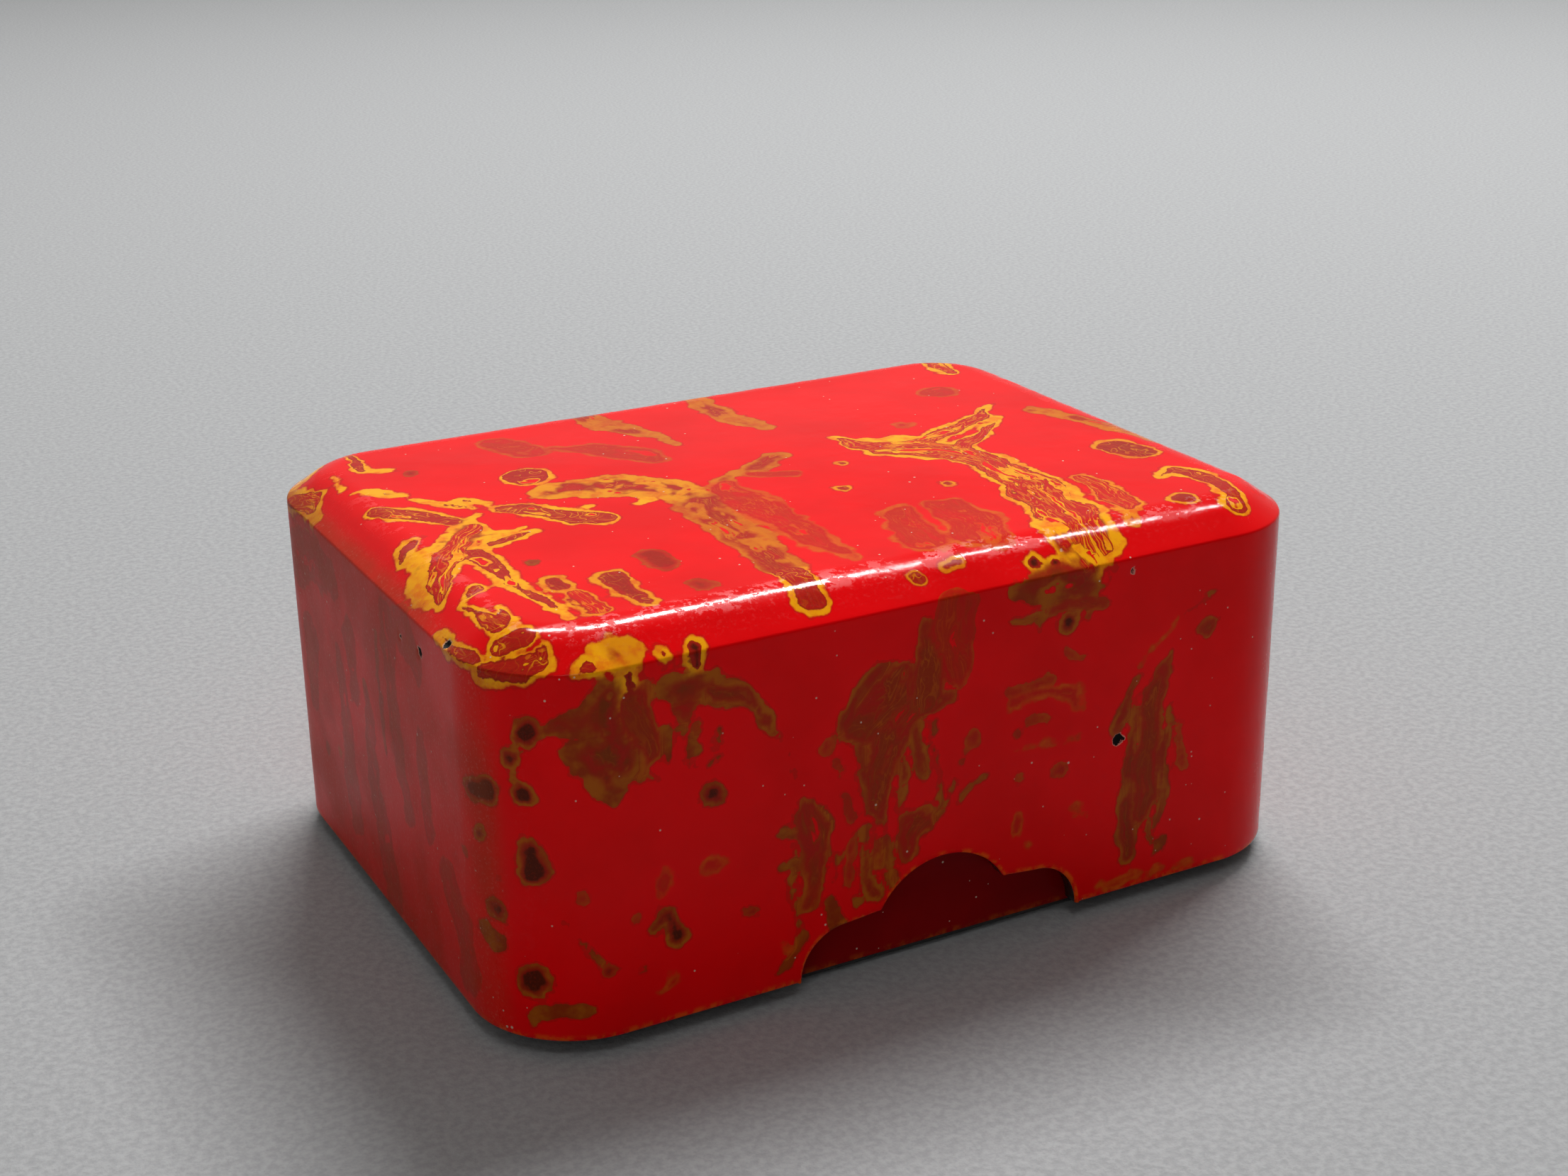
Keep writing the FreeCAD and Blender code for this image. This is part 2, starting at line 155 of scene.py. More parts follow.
def sideColumns(spec, side):
    # columns of one side, from the middle of one corner to the middle of the next: plan point,
    # way out, point of the rim and the rim's way into the wood
    isLong = side in ("front", "back")
    facing = {"front": 0, "right": 90, "back": 180, "left": 270}[side]
    half = (spec["length"] if isLong else spec["width"]) / 2 - spec["radius"]
    apart = (spec["width"] if isLong else spec["length"]) / 2
    turnTo = Matrix.Rotation(math.radians(facing), 2)
    arcLength = spec["radius"] * math.pi / 4
    cut = spec.get("cuts", {}).get(side)
    cutHalf = cut["half"] if cut else 0
    cutCount = cut["count"] if cut else 0
    plainCount = ((spec["longCount"] if isLong else spec["shortCount"]) - cutCount) // 2
    runLength = arcLength + half - cutHalf
    up = spec["rimUp"]
    columns = []

    def add(x, depth, out, rimX, rimLevel, into):
        columns.append({
            "plan": turnTo @ Vector((x, depth)),
            "out": turnTo @ out,
            "rim": turnTo @ Vector((rimX, depth)),
            "rimLevel": rimLevel,
            "into": turnTo @ Vector((into[0], 0)),
            "intoLevel": into[1],
        })

    def addPlain(distance, hand):
        # distance from the middle of the corner, on the left or right hand of the side
        if distance < arcLength:
            turn = math.pi / 4 * (1 - distance / arcLength)
            x = half + spec["radius"] * math.sin(turn)
            depth = -apart + spec["radius"] * (1 - math.cos(turn))
            out = Vector((hand * math.sin(turn), -math.cos(turn)))
        else:
            x, depth, out = half + arcLength - distance, -apart, Vector((0, -1))
        add(hand * x, depth, out, hand * x, spec["rimLevel"], (0, -up))

    for i in range(plainCount + (0 if cut else 1)):
        addPlain(runLength * i / plainCount, -1)
    if cut:
        for x, (rimX, rise, intoX, intoZ) in zip(evenly(-cutHalf, cutHalf, cutCount), cut["line"]):
            add(x, -apart, Vector((0, -1)), rimX, spec["rimLevel"] - up * rise,
                (intoX, -up * intoZ))
    for i in range(plainCount - 1, 0, -1):
        addPlain(runLength * i / plainCount, 1)
    return columns


class Skin:
    # one closed surface that grows ring by ring from the edge of its cap
    coveSteps = 4                   # round the foot of the inner wall

    def __init__(self, spec):
        self.spec = spec
        self.columns = [column for side in ("front", "right", "back", "left")
                        for column in sideColumns(spec, side)]
        self.bm = bmesh.new()
        nx, ny = spec["longCount"], spec["shortCount"]
        bmesh.ops.create_grid(self.bm, x_segments=nx, y_segments=ny, size=0.5)
        self.column = self.bm.verts.layers.int.new("column")
        self.worn = self.bm.verts.layers.float.new("worn")
        ring = [self.inset(column, *spec["profile"][0]) for column in self.columns]
        front, right = ring[:nx + 1], ring[nx:nx + ny + 1]
        back = ring[nx + ny:2 * nx + ny + 1][::-1]
        left = (ring[2 * nx + ny:] + ring[:1])[::-1]
        for vert in self.bm.verts:
            i, j = round((vert.co.x + 0.5) * nx), round((vert.co.y + 0.5) * ny)
            u, v = i / nx, j / ny
            across = left[j] * (1 - u) + right[j] * u
            upward = front[i] * (1 - v) + back[i] * v
            corners = ((front[0] * (1 - u) + front[nx] * u) * (1 - v)
                       + (back[0] * (1 - u) + back[nx] * u) * v)
            vert.co = across + upward - corners
            onEdge = {j == 0: i, i == nx: nx + j, j == ny: 2 * nx + ny - i,
                      i == 0: 2 * nx + 2 * ny - j}
            vert[self.column] = onEdge.get(True, 0)
        self.edges = [edge for edge in self.bm.edges if edge.is_boundary]
        for face in self.bm.faces:
            face.material_index = spec.get("capMaterial", 0)

    def inset(self, column, inset, level):
        plan = column["plan"] - column["out"] * inset
        return Vector((plan.x, plan.y, level))

    def onRim(self, column, into, inset):
        plan = column["rim"] + column["into"] * into - column["out"] * inset
        return Vector((plan.x, plan.y, column["rimLevel"] + column["intoLevel"] * into))

    def grow(self, place, material=0, worn=0.0):
        made = bmesh.ops.extrude_edge_only(self.bm, edges=self.edges)["geom"]
        verts = {item for item in made if isinstance(item, bmesh.types.BMVert)}
        for vert in verts:
            vert.co = place(self.columns[vert[self.column] % len(self.columns)])
            vert[self.worn] = worn
        self.edges = [item for item in made if isinstance(item, bmesh.types.BMEdge)
                      and item.verts[0] in verts and item.verts[1] in verts]
        for item in made:
            if isinstance(item, bmesh.types.BMFace):
                item.material_index = material

    def growProfile(self):
        for inset, level in self.spec["profile"][1:]:
            self.grow(lambda column: self.inset(column, inset, level),
                      self.spec.get("capMaterial", 0), self.spec.get("profileWorn", 0))

    def growWall(self):
        start, rows = self.spec["profile"][-1][1], self.spec["wallRows"]
        for row in range(1, rows):
            self.grow(lambda column: self.inset(column, 0, start).lerp(
                self.onRim(column, self.spec["rimEase"], 0), row / rows))

    def growEdge(self):
        # round from the wall on to the rim
        ease = self.spec["rimEase"]
        for turn in evenly(0, math.pi / 2, self.spec["easeSteps"]):
            self.grow(lambda column: self.onRim(column, ease * (1 - math.sin(turn)),
                                                ease * (1 - math.cos(turn))),
                      self.spec.get("rimMaterial", 0), 1.0)

    def growInnerEdge(self, material):
        # and from the rim a little way down its inner face
        ease, wall = self.spec["rimEase"], self.spec["wall"]
        for turn in evenly(0, math.pi / 2, self.spec["easeSteps"]):
            self.grow(lambda column: self.onRim(column, ease * (1 - math.cos(turn)),
                                                wall - ease * (1 - math.sin(turn))),
                      material, 1.0)

    def growInside(self, material):
        wall, cove, level = self.spec["wall"], self.spec["cove"], self.spec["innerLevel"]
        away = 1 if level > self.spec["rimLevel"] else -1
        end = level - away * cove
        for row in range(1, self.spec["innerRows"] + 1):
            share = row / self.spec["innerRows"]
            self.grow(lambda column: self.onRim(column, self.spec["rimEase"], wall).lerp(
                self.inset(column, wall, end), share), material)
        for inset, height in arcPoints((wall + cove, end), cove, math.pi,
                                       math.pi - away * math.pi / 2, self.coveSteps)[1:]:
            self.grow(lambda column: self.inset(column, inset, height), material)

    def close(self, material=0):
        for face in bmesh.ops.edgeloop_fill(self.bm, edges=self.edges)["faces"]:
            face.material_index = material
        self.bm.verts.layers.int.remove(self.column)
        return self.bm


def hollowSkin(spec, innerMaterial=1):
    skin = Skin(spec)
    skin.growProfile()
    skin.growWall()
    skin.growEdge()
    skin.growInnerEdge(innerMaterial)
    skin.growInside(innerMaterial)
    return skin.close(innerMaterial)


def easedTop(spec):
    # profile of a flat top with a round edge
    edge, top = spec["edge"], spec["high"]
    return ([(edge * spec["edgeFlat"], top)]
            + arcPoints((edge, top - edge), edge, math.pi / 2, math.pi, spec["edgeSteps"]))


def solidSkin(spec):
    # like a hollow one, but the rim turns in under the piece and is closed flat
    skin = Skin(spec)
    skin.growProfile()
    skin.growWall()
    skin.growEdge()
    skin.grow(lambda column: skin.onRim(column, 0, spec["footInset"]))
    return skin.close()


def rgb(red, green, blue):
    return (red, green, blue, 1.0)


class Finish:
    # a material, with short ways of adding nodes to it
    def __init__(self, name):
        self.material = bpy.data.materials.new(name)
        self.material.use_nodes = True
        self.tree = self.material.node_tree
        self.shader = self.tree.nodes["Principled BSDF"]

    def put(self, socket, value):
        if isinstance(value, bpy.types.NodeSocket):
            self.tree.links.new(value, socket)
        else:
            socket.default_value = value

    def node(self, kind, inputs, **settings):
        made = self.tree.nodes.new(kind)
        for key, value in settings.items():
            setattr(made, key, value)
        for key, value in inputs.items():
            self.put(made.inputs[key], value)
        return made

    def sums(self, how, *values):
        return self.node("ShaderNodeMath", dict(enumerate(values)), operation=how).outputs[0]

    def chain(self, how, values):
        result = values[0]
        for value in values[1:]:
            result = self.sums(how, result, value)
        return result

    def times(self, *values):
        return self.chain("MULTIPLY", values)

    def plus(self, *values):
        return self.chain("ADD", values)

    def minus(self, first, second):
        return self.sums("SUBTRACT", first, second)

    def vectors(self, how, *values):
        made = self.node("ShaderNodeVectorMath", dict(enumerate(values)), operation=how)
        return made.outputs["Value" if how == "DISTANCE" else "Vector"]

    def step(self, value, low, high, toLow=0.0, toHigh=1.0):
        made = self.node("ShaderNodeMapRange", {"Value": value, "From Min": low, "From Max": high,
                                                "To Min": toLow, "To Max": toHigh},
                         interpolation_type="SMOOTHSTEP")
        return made.outputs["Result"]

    def line(self, value, middle, half):
        # 1 on a line where the value is near its middle, fading out over its half width
        apart = self.sums("ABSOLUTE", self.minus(value, middle))
        return self.step(apart, half * 0.4, half, 1.0, 0.0)

    def mix(self, share, first, second, kind="RGBA"):
        # kind is RGBA between two colours and VALUE between two numbers
        made = self.node("ShaderNodeMix", {"Factor": share},
                         data_type="FLOAT" if kind == "VALUE" else kind)
        ends = {socket.name: socket for socket in made.inputs if socket.type == kind}
        self.put(ends["A"], first)
        self.put(ends["B"], second)
        return next(socket for socket in made.outputs if socket.type == kind)

    def over(self, colour, coat, *masks):
        # a coat laid over the colour where all the masks have it
        return self.mix(self.times(*masks), colour, coat)

    def noise(self, where, scale, detail=3.0, roughness=0.55, distortion=0.0):
        made = self.node("ShaderNodeTexNoise", {"Vector": where, "Scale": scale, "Detail": detail,
                                                "Roughness": roughness, "Distortion": distortion})
        return made.outputs["Fac"]

    def marks(self, place, scale, detail, roughness, low, high, *ends):
        return self.step(self.noise(place, scale, detail, roughness), low, high, *ends)

    def streaks(self, place, stretch, *settings):
        # noise with its own scale along each axis
        return self.noise(self.vectors("MULTIPLY", place, stretch), 1.0, *settings)

    def cells(self, where, scale):
        made = self.node("ShaderNodeTexVoronoi", {"Vector": where, "Scale": scale})
        return made.outputs["Distance"]

    def attribute(self, name, part="Fac"):
        return self.node("ShaderNodeAttribute", {}, attribute_name=name).outputs[part]

    def parts(self, vector):
        return self.node("ShaderNodeSeparateXYZ", {"Vector": vector}).outputs

    def joined(self, x, y, z):
        return self.node("ShaderNodeCombineXYZ", {"X": x, "Y": y, "Z": z}).outputs[0]

    def millimetres(self):
        place = self.node("ShaderNodeTexCoord", {}).outputs["Object"]
        return self.vectors("MULTIPLY", place, (1000.0, 1000.0, 1000.0))

    def bump(self, height, distance):
        made = self.node("ShaderNodeBump", {"Height": height, "Distance": distance})
        return made.outputs["Normal"]

    def finish(self, **values):
        for key, value in values.items():
            self.put(self.shader.inputs[key.replace("_", " ")], value)
        return self.material


# Marks in these dictionaries are noise: its scale per mm, detail and roughness, the levels between
# which it fades in, and for some what it is worth at those levels

lacquer = {
    "ground": rgb(0.88, 0.001, 0.003),
    "groundDeep": rgb(0.78, 0.001, 0.002),
    # the box's red is painted dark: painted shade, standing for the shadow the lid casts over the
    # box
    "boxShadedGround": rgb(0.28, 0.001, 0.002),
    "boxShadedDeep": rgb(0.22, 0.001, 0.002),
    "rimBright": rgb(0.98, 0.40, 0.004),
    "rimOrange": rgb(0.88, 0.20, 0.004),
    "rimOlive": rgb(0.40, 0.090, 0.004),
    "rimBrown": rgb(0.29, 0.028, 0.003),
    "line": rgb(0.34, 0.014, 0.004),
    "middle": rgb(0.48, 0.014, 0.007),
    "middleOlive": rgb(0.25, 0.038, 0.003),
    "grain": rgb(0.27, 0.010, 0.005),
    "coreDark": rgb(0.085, 0.010, 0.003),
    "handled": rgb(0.27, 0.045, 0.008),
    "under": rgb(0.006, 0.005, 0.005),
    "bare": rgb(0.70, 0.55, 0.42),
    "wander": 2.8,                  # mm that the edge of a pool strays, slowly and then finely
    "fray": 0.6,
    "cloudIslands": 26.0,           # how far islands of ground cut into a pool and into a smear
    "streakIslands": 14.0,
    "veins": 0.85,                  # shares from 0 to 1, of veins, outlines, dust and rubbed edges
    "outline": 0.35,
    "specks": 0.8,
    "rubbed": 0.45,
    "handledIn": (3.8, 0.8),        # mm in from each end over which hands have dulled the gloss
    "shoulderWide": 3.4,            # mm, the line rubbed along the shoulder
    "speckledIn": 4.0,              # mm outside of that, a line of fine specks, and its width
    "speckledWide": 3.0,
    "swells": (0.15, 2.0, 0.55, 0.32, 0.68, 0.30, 2.2),
    "mottle": (0.40, 4.0, 0.6, 0.42, 0.70),
    "veinPatches": (0.11, 2.0, 0.55, 0.44, 0.56),
    "wornMarks": (0.5, 4.0, 0.7, 0.42, 0.62),
    "endDust": (1.7, 4.0, 0.75, 0.54, 0.68),
    "shoulderSpecks": (1.6, 3.0, 0.7, 0.52, 0.64),
    "rough": (0.06, 4.0, 0.55, 0.3, 0.75, 0.08, 0.16),
    "peel": 0.00004,
    "gloss": 0.085,
}


def makeMarbled(name, ground, groundDeep, spec, shoulderIn=None, chips=()):
    # shoulderIn is how far in from the sides, in mm, the rubbed shoulder runs
    halfLength, halfWidth = spec["length"] / 2 / mm, spec["width"] / 2 / mm
    it = Finish(name)
    place = it.millimetres()
    pool = it.attribute("pool")
    rim, tone, core = it.parts(it.attribute("look", "Vector"))
    along, across, streaky = it.parts(it.attribute("flow", "Vector"))
    show = it.attribute("show")
    calm = it.minus(1.0, streaky)

    # edges that wander slowly and fray a little
    wander = it.minus(it.noise(place, 0.30, 2.0, 0.5), 0.5)
    fray = it.minus(it.noise(place, 0.9, 3.0, 0.6), 0.5)
    depth = it.plus(pool, it.times(wander, lacquer["wander"]), it.times(fray, lacquer["fray"]))

    # islands of ground left standing inside a pool, drawn out along each smear
    clouds = it.noise(place, 0.17, 2.0, 0.5, 0.3)
    streaks = it.noise(it.joined(it.times(along, 0.07), it.times(across, 0.40), 0.0),
                       1.0, 3.0, 0.55, 0.4)
    islands = it.plus(it.times(it.minus(0.62, clouds), lacquer["cloudIslands"], calm),
                      it.times(it.minus(0.60, streaks), lacquer["streakIslands"], streaky),
                      it.times(fray, 0.8), it.step(pool, 0.6, 2.2, 4.0, 0.0),
                      it.step(core, 0.3, 0.6, 0.0, 8.0))
    depth = it.sums("MINIMUM", depth, islands)

    # the pale rim swells and thins along its way; what lies past it is the middle
    swell = it.mix(core, it.marks(place, *lacquer["swells"]), 1.0, "VALUE")
    edge = it.minus(depth, it.times(rim, swell))
    soft = it.times(it.step(show, 0.3, 0.6, 1.0, 0.0), 1.1)
    inside = it.times(it.step(depth, it.minus(-0.08, soft), it.plus(soft, 0.06)), show)
    outline = it.times(it.line(depth, -0.12, 0.30), it.step(show, 0.5, 0.9))
    blur = it.plus(it.times(tone, 0.5), it.step(rim, 0.9, 2.0, 0.0, 0.7))
    pastRim = it.step(edge, it.times(blur, -1.2), it.plus(0.12, it.times(blur, 0.9)))
    pastLine = it.step(edge, 0.10, it.plus(0.45, it.times(blur, 1.2)))

    cloudy = it.noise(place, 0.045, 3.0)
    ground = it.mix(it.step(cloudy, 0.35, 0.7), ground, groundDeep)

    # rim: yellow over orange, turning olive where it was rubbed less
    rimColour = it.mix(it.marks(place, *lacquer["mottle"]), lacquer["rimBright"],
                       lacquer["rimOrange"])
    rimColour = it.mix(it.step(depth, 0.10, 0.35), lacquer["rimOrange"], rimColour)
    smoke = it.plus(it.times(it.noise(place, 0.20, 3.0, 0.6), calm), it.times(streaks, streaky))
    olive = it.mix(it.step(smoke, 0.40, 0.62), lacquer["rimOlive"], lacquer["rimBrown"])
    rimColour = it.mix(tone, rimColour, olive)

    # middle: a dull red with a fine grain, and thin veins where an upper coat ran through it
    grains = it.noise(place, 2.6, 5.0, 0.75)
    middle = it.over(lacquer["middle"], lacquer["middleOlive"],
                     tone, it.step(smoke, 0.47, 0.60, 1.0, 0.0))
    middle = it.over(middle, ground, streaky, it.step(tone, 0.1, 0.5, 0.45, 0.0))
    middle = it.over(middle, lacquer["grain"], it.step(grains, 0.48, 0.66), 0.5)
    middle = it.over(middle, lacquer["coreDark"], core, it.step(edge, 0.1, 0.9),
                     it.step(grains, 0.30, 0.50, 0.6, 1.0))
    veins = it.plus(it.times(it.line(it.sums("PINGPONG", clouds, 0.055), 0.0, 0.010), calm),
                    it.times(it.line(it.sums("PINGPONG", streaks, 0.045), 0.0, 0.018), streaky))
    patchy = it.marks(place, *lacquer["veinPatches"], it.times(streaky, 0.5), 1.0)
    middle = it.over(middle, rimColour, veins, patchy, it.minus(1.0, core), lacquer["veins"])

    colour = it.mix(pastRim, rimColour, lacquer["line"])
    colour = it.mix(pastLine, colour, middle)
    colour = it.mix(inside, ground, colour)
    colour = it.over(colour, lacquer["line"], outline, lacquer["outline"])

    # dust specks in the gloss, and edges rubbed paler by fingers
    speckSize = it.times(it.noise(place, 0.12, 1.0), 0.10)
    speck = it.step(it.minus(it.cells(place, 0.30), speckSize), -0.012, 0.006, 1.0, 0.0)
    colour = it.over(colour, lacquer["bare"], speck, lacquer["specks"])
    colour = it.over(colour, lacquer["rimOrange"], it.attribute("worn"),
                     it.marks(place, *lacquer["wornMarks"]), lacquer["rubbed"])

    # both ends handled: browner, dusty and duller
    outX, outY = [it.sums("ABSOLUTE", part) for part in it.parts(place)[0:2]]
    startIn, endIn = lacquer["handledIn"]
    handled = it.step(outX, halfLength - startIn, halfLength - endIn)
    colour = it.over(colour, lacquer["handled"], handled, it.step(cloudy, 0.35, 0.65, 0.22, 0.50))
    colour = it.over(colour, lacquer["bare"], handled, it.marks(place, *lacquer["endDust"]), 0.12)

    # small losses down to the black under-coat, each with a pale broken edge
    gone = 0.0
    for x, y, z, radius in chips:
        apart = it.plus(it.vectors("DISTANCE", place, (x, y, z)), -radius,
                        it.times(fray, radius * 1.6))
        hole = it.step(apart, -0.20, -0.06, 1.0, 0.0)
        colour = it.over(colour, lacquer["bare"], it.step(apart, -0.25, -0.08),
                         it.step(apart, 0.0, 0.12, 1.0, 0.0), 0.5)
        colour = it.mix(hole, colour, lacquer["under"])
        gone = it.sums("MAXIMUM", gone, hole)

    # relief: the coats lie slightly unlevel, and the gloss has a soft orange peel
    height = it.plus(it.noise(place, 0.34, 2.0, 0.5), it.times(it.noise(place, 1.2, 2.0), 0.16),
                     it.times(inside, 0.12), it.times(gone, -4.0),
                     it.times(handled, it.noise(place, 2.4, 2.0), 0.3))
    rough = it.marks(place, *lacquer["rough"])
    if shoulderIn:
        edgeIn = it.sums("MINIMUM", it.minus(halfLength, outX), it.minus(halfWidth, outY))
        broken = it.plus(it.noise(place, 0.16, 2.0), it.times(it.noise(place, 0.9, 4.0, 0.7), 0.8))
        rubbedOut = it.times(it.line(edgeIn, shoulderIn, lacquer["shoulderWide"]),
                             it.step(broken, 0.94, 1.02))
        speckled = it.times(it.line(edgeIn, shoulderIn - lacquer["speckledIn"],
                                    lacquer["speckledWide"]),
                            it.marks(place, *lacquer["shoulderSpecks"]))
        rough = it.plus(rough, it.times(rubbedOut, 0.40), it.times(speckled, 0.14))
    rough = it.plus(rough, it.times(handled, it.step(cloudy, 0.3, 0.7, 0.20, 0.30)))
    rough = it.sums("MAXIMUM", rough, it.times(gone, 0.7))
    return it.finish(Base_Color=colour, Roughness=rough, Normal=it.bump(height, lacquer["peel"]),
                     Specular_IOR_Level=lacquer["gloss"])


blackCoat = {
    "deep": rgb(0.010, 0.008, 0.008),
    "pale": rgb(0.024, 0.017, 0.014),
    "dust": rgb(0.20, 0.18, 0.16),
    "rubbed": rgb(0.12, 0.026, 0.012),
    "shade": (0.05, 4.0, 0.55, 0.35, 0.75),
    "dustMarks": (2.2, 2.0, 0.6, 0.70, 0.76),
    "wornPatches": (0.06, 2.0, 0.55, 0.50, 0.66, 0.12, 1.0),
    "wornMarks": (0.35, 4.0, 0.7, 0.46, 0.66),
    "rough": (0.08, 4.0, 0.55, 0.3, 0.7, 0.22, 0.38),
    "relief": 0.00006,
}


def makeBlackLacquer(name):
    # brushed black, dusty, with the red under it showing where edges are rubbed
    it = Finish(name)
    place = it.millimetres()
    colour = it.mix(it.marks(place, *blackCoat["shade"]), blackCoat["deep"], blackCoat["pale"])
    colour = it.over(colour, blackCoat["dust"], it.marks(place, *blackCoat["dustMarks"]), 0.25)
    rubbed = it.times(it.attribute("worn"), it.marks(place, *blackCoat["wornPatches"]),
                      it.marks(place, *blackCoat["wornMarks"]))
    colour = it.over(colour, blackCoat["rubbed"], rubbed, 0.6)
    brushed = it.streaks(place, (0.05, 0.9, 0.9), 3.0)
    height = it.plus(it.noise(place, 0.4, 2.0), it.times(brushed, 0.3))
    rough = it.plus(it.marks(place, *blackCoat["rough"]), it.times(rubbed, 0.15))
    return it.finish(Base_Color=colour, Roughness=rough,
                     Normal=it.bump(height, blackCoat["relief"]))


cane = {
    "fleck": rgb(0.16, 0.070, 0.022),
    "stain": rgb(0.22, 0.10, 0.035),
    "ringDark": rgb(0.10, 0.040, 0.012),
    "ringPale": rgb(0.75, 0.62, 0.38),
    "worn": rgb(0.20, 0.10, 0.04),
    "stainMarks": (0.06, 3.0, 0.55, 0.5, 0.75),
    "rough": (0.30, 0.48),          # between and along the fibres
    "relief": 0.00006,
}


def makeBamboo(name, pale, deep, nodeX=None):
    # polished bamboo: long fibres, darker flecks, and a dark line at each ring of the cane
    it = Finish(name)
    place = it.millimetres()
    fibres = it.streaks(place, (0.035, 2.2, 2.2), 5.0, 0.7)
    broad = it.streaks(place, (0.02, 0.35, 0.35), 3.0)
    colour = it.mix(it.step(it.plus(it.times(fibres, 0.6), it.times(broad, 0.4)), 0.35, 0.65),
                    deep, pale)
    fleck = it.step(it.streaks(place, (0.10, 3.2, 3.2), 2.0, 0.6), 0.66, 0.74)
    colour = it.over(colour, cane["fleck"], fleck, 0.5)
    colour = it.over(colour, cane["stain"], it.marks(place, *cane["stainMarks"]), 0.35)
    if nodeX is not None:
        wavy = it.plus(it.parts(place)[0], it.times(it.noise(place, 0.6, 2.0), 0.5))
        colour = it.over(colour, cane["ringDark"], it.line(wavy, nodeX + 0.25, 0.9), 0.75)
        colour = it.over(colour, cane["ringPale"], it.line(wavy, nodeX + 1.5, 1.2), 0.25)
    colour = it.over(colour, cane["worn"], it.attribute("worn"), 0.4)
    return it.finish(Base_Color=colour, Roughness=it.step(fibres, 0.3, 0.7, *cane["rough"]),
                     Normal=it.bump(fibres, cane["relief"]))


hornLook = {
    "deep": rgb(0.018, 0.012, 0.009),
    "pale": rgb(0.15, 0.075, 0.030),
    "rough": (0.9, 3.0, 0.55, 0.3, 0.7, 0.16, 0.30),
    "relief": 0.00003,
}


def makeHorn(name):
    # dark horn with paler bands, letting a little light in
    it = Finish(name)
    place = it.millimetres()
    bands = it.streaks(place, (0.10, 1.1, 1.1), 4.0, 0.6, 0.6)
    return it.finish(
        Base_Color=it.mix(it.step(bands, 0.40, 0.62), hornLook["deep"], hornLook["pale"]),
        Roughness=it.marks(place, *hornLook["rough"]),
        Normal=it.bump(bands, hornLook["relief"]), Subsurface_Weight=0.15,
        Subsurface_Radius=(0.5, 0.25, 0.1), Subsurface_Scale=0.001)


hairLook = {
    "deep": rgb(0.36, 0.25, 0.14),
    "pale": rgb(0.78, 0.66, 0.47),
    "lock": rgb(0.14, 0.080, 0.040),
    "inked": rgb(0.045, 0.038, 0.034),
    "rough": 0.55,
    "relief": 0.0002,
}


def makeHair(name, tipStart, tipEnd):
    # hair laid straight and glued to a point, stained grey-brown by ink towards the point
    it = Finish(name)
    place = it.millimetres()
    strands = it.streaks(place, (0.05, 5.0, 5.0), 3.0, 0.6)
    colour = it.mix(it.step(strands, 0.35, 0.65), hairLook["deep"], hairLook["pale"])
    lockDark = it.step(it.streaks(place, (0.06, 1.3, 1.3), 3.0), 0.30, 0.48, 1.0, 0.0)
    colour = it.over(colour, hairLook["lock"], lockDark, 0.55)
    reach = it.plus(it.parts(place)[0], it.times(strands, 7.0))
    colour = it.over(colour, hairLook["inked"], it.step(reach, tipStart, tipEnd), 0.85)
    return it.finish(Base_Color=colour, Roughness=hairLook["rough"],
                     Normal=it.bump(strands, hairLook["relief"]), Sheen_Weight=0.3)


slate = {
    "deep": rgb(0.030, 0.031, 0.036),
    "pale": rgb(0.062, 0.060, 0.064),
    "grain": rgb(0.13, 0.13, 0.14),
    "inked": rgb(0.008, 0.008, 0.009),
    "tide": rgb(0.15, 0.145, 0.14),
    "chipped": rgb(0.11, 0.11, 0.115),
    "inkDepth": 0.16,               # how much 1 mm of depth adds to the dried ink
    "chipMarks": (0.5, 4.0, 0.7, 0.5, 0.65),
    "rough": (0.42, 0.62),          # between and on the grains
    "relief": 0.00008,
}


def makeSlate(name):
    # honed slate: fine grain, faint beds, dried ink in the well and grinding marks on the flat
    it = Finish(name)
    place = it.millimetres()
    grain = it.noise(place, 3.0, 5.0, 0.7)
    beds = it.streaks(place, (0.03, 0.22, 0.5), 4.0, 0.55, 0.6)
    colour = it.mix(it.step(beds, 0.35, 0.68), slate["deep"], slate["pale"])
    colour = it.over(colour, slate["grain"], it.step(grain, 0.56, 0.72), 0.35)
    wet = it.plus(it.times(it.attribute("depth"), slate["inkDepth"]),
                  it.noise(place, 0.16, 4.0, 0.6))
    inked = it.step(wet, 1.02, 1.22)
    colour = it.mix(inked, colour, slate["inked"])
    colour = it.over(colour, slate["tide"], it.line(wet, 1.0, 0.05), 0.5)
    chipped = it.times(it.attribute("worn"), it.marks(place, *slate["chipMarks"]))
    colour = it.over(colour, slate["chipped"], chipped, 0.5)
    rough = it.plus(it.step(grain, 0.3, 0.7, *slate["rough"]), it.times(inked, -0.22))
    rings = it.streaks(place, (0.5, 0.09, 0.5), 3.0, 0.6)
    height = it.plus(it.times(grain, 0.5), it.times(rings, 0.3), it.times(chipped, -1.0))
    return it.finish(Base_Color=colour, Roughness=rough, Normal=it.bump(height, slate["relief"]))


bronzeLook = {
    "deep": rgb(0.16, 0.085, 0.040),
    "pale": rgb(0.34, 0.20, 0.095),
    "green": rgb(0.075, 0.13, 0.095),
    "bright": rgb(0.72, 0.48, 0.24),
    "greenMarks": (0.30, 5.0, 0.7, 0.60, 0.72),
    "brightMarks": (0.6, 3.0, 0.55, 0.30, 0.60),
    "rough": (0.34, 0.52),
    "relief": 0.00005,
}


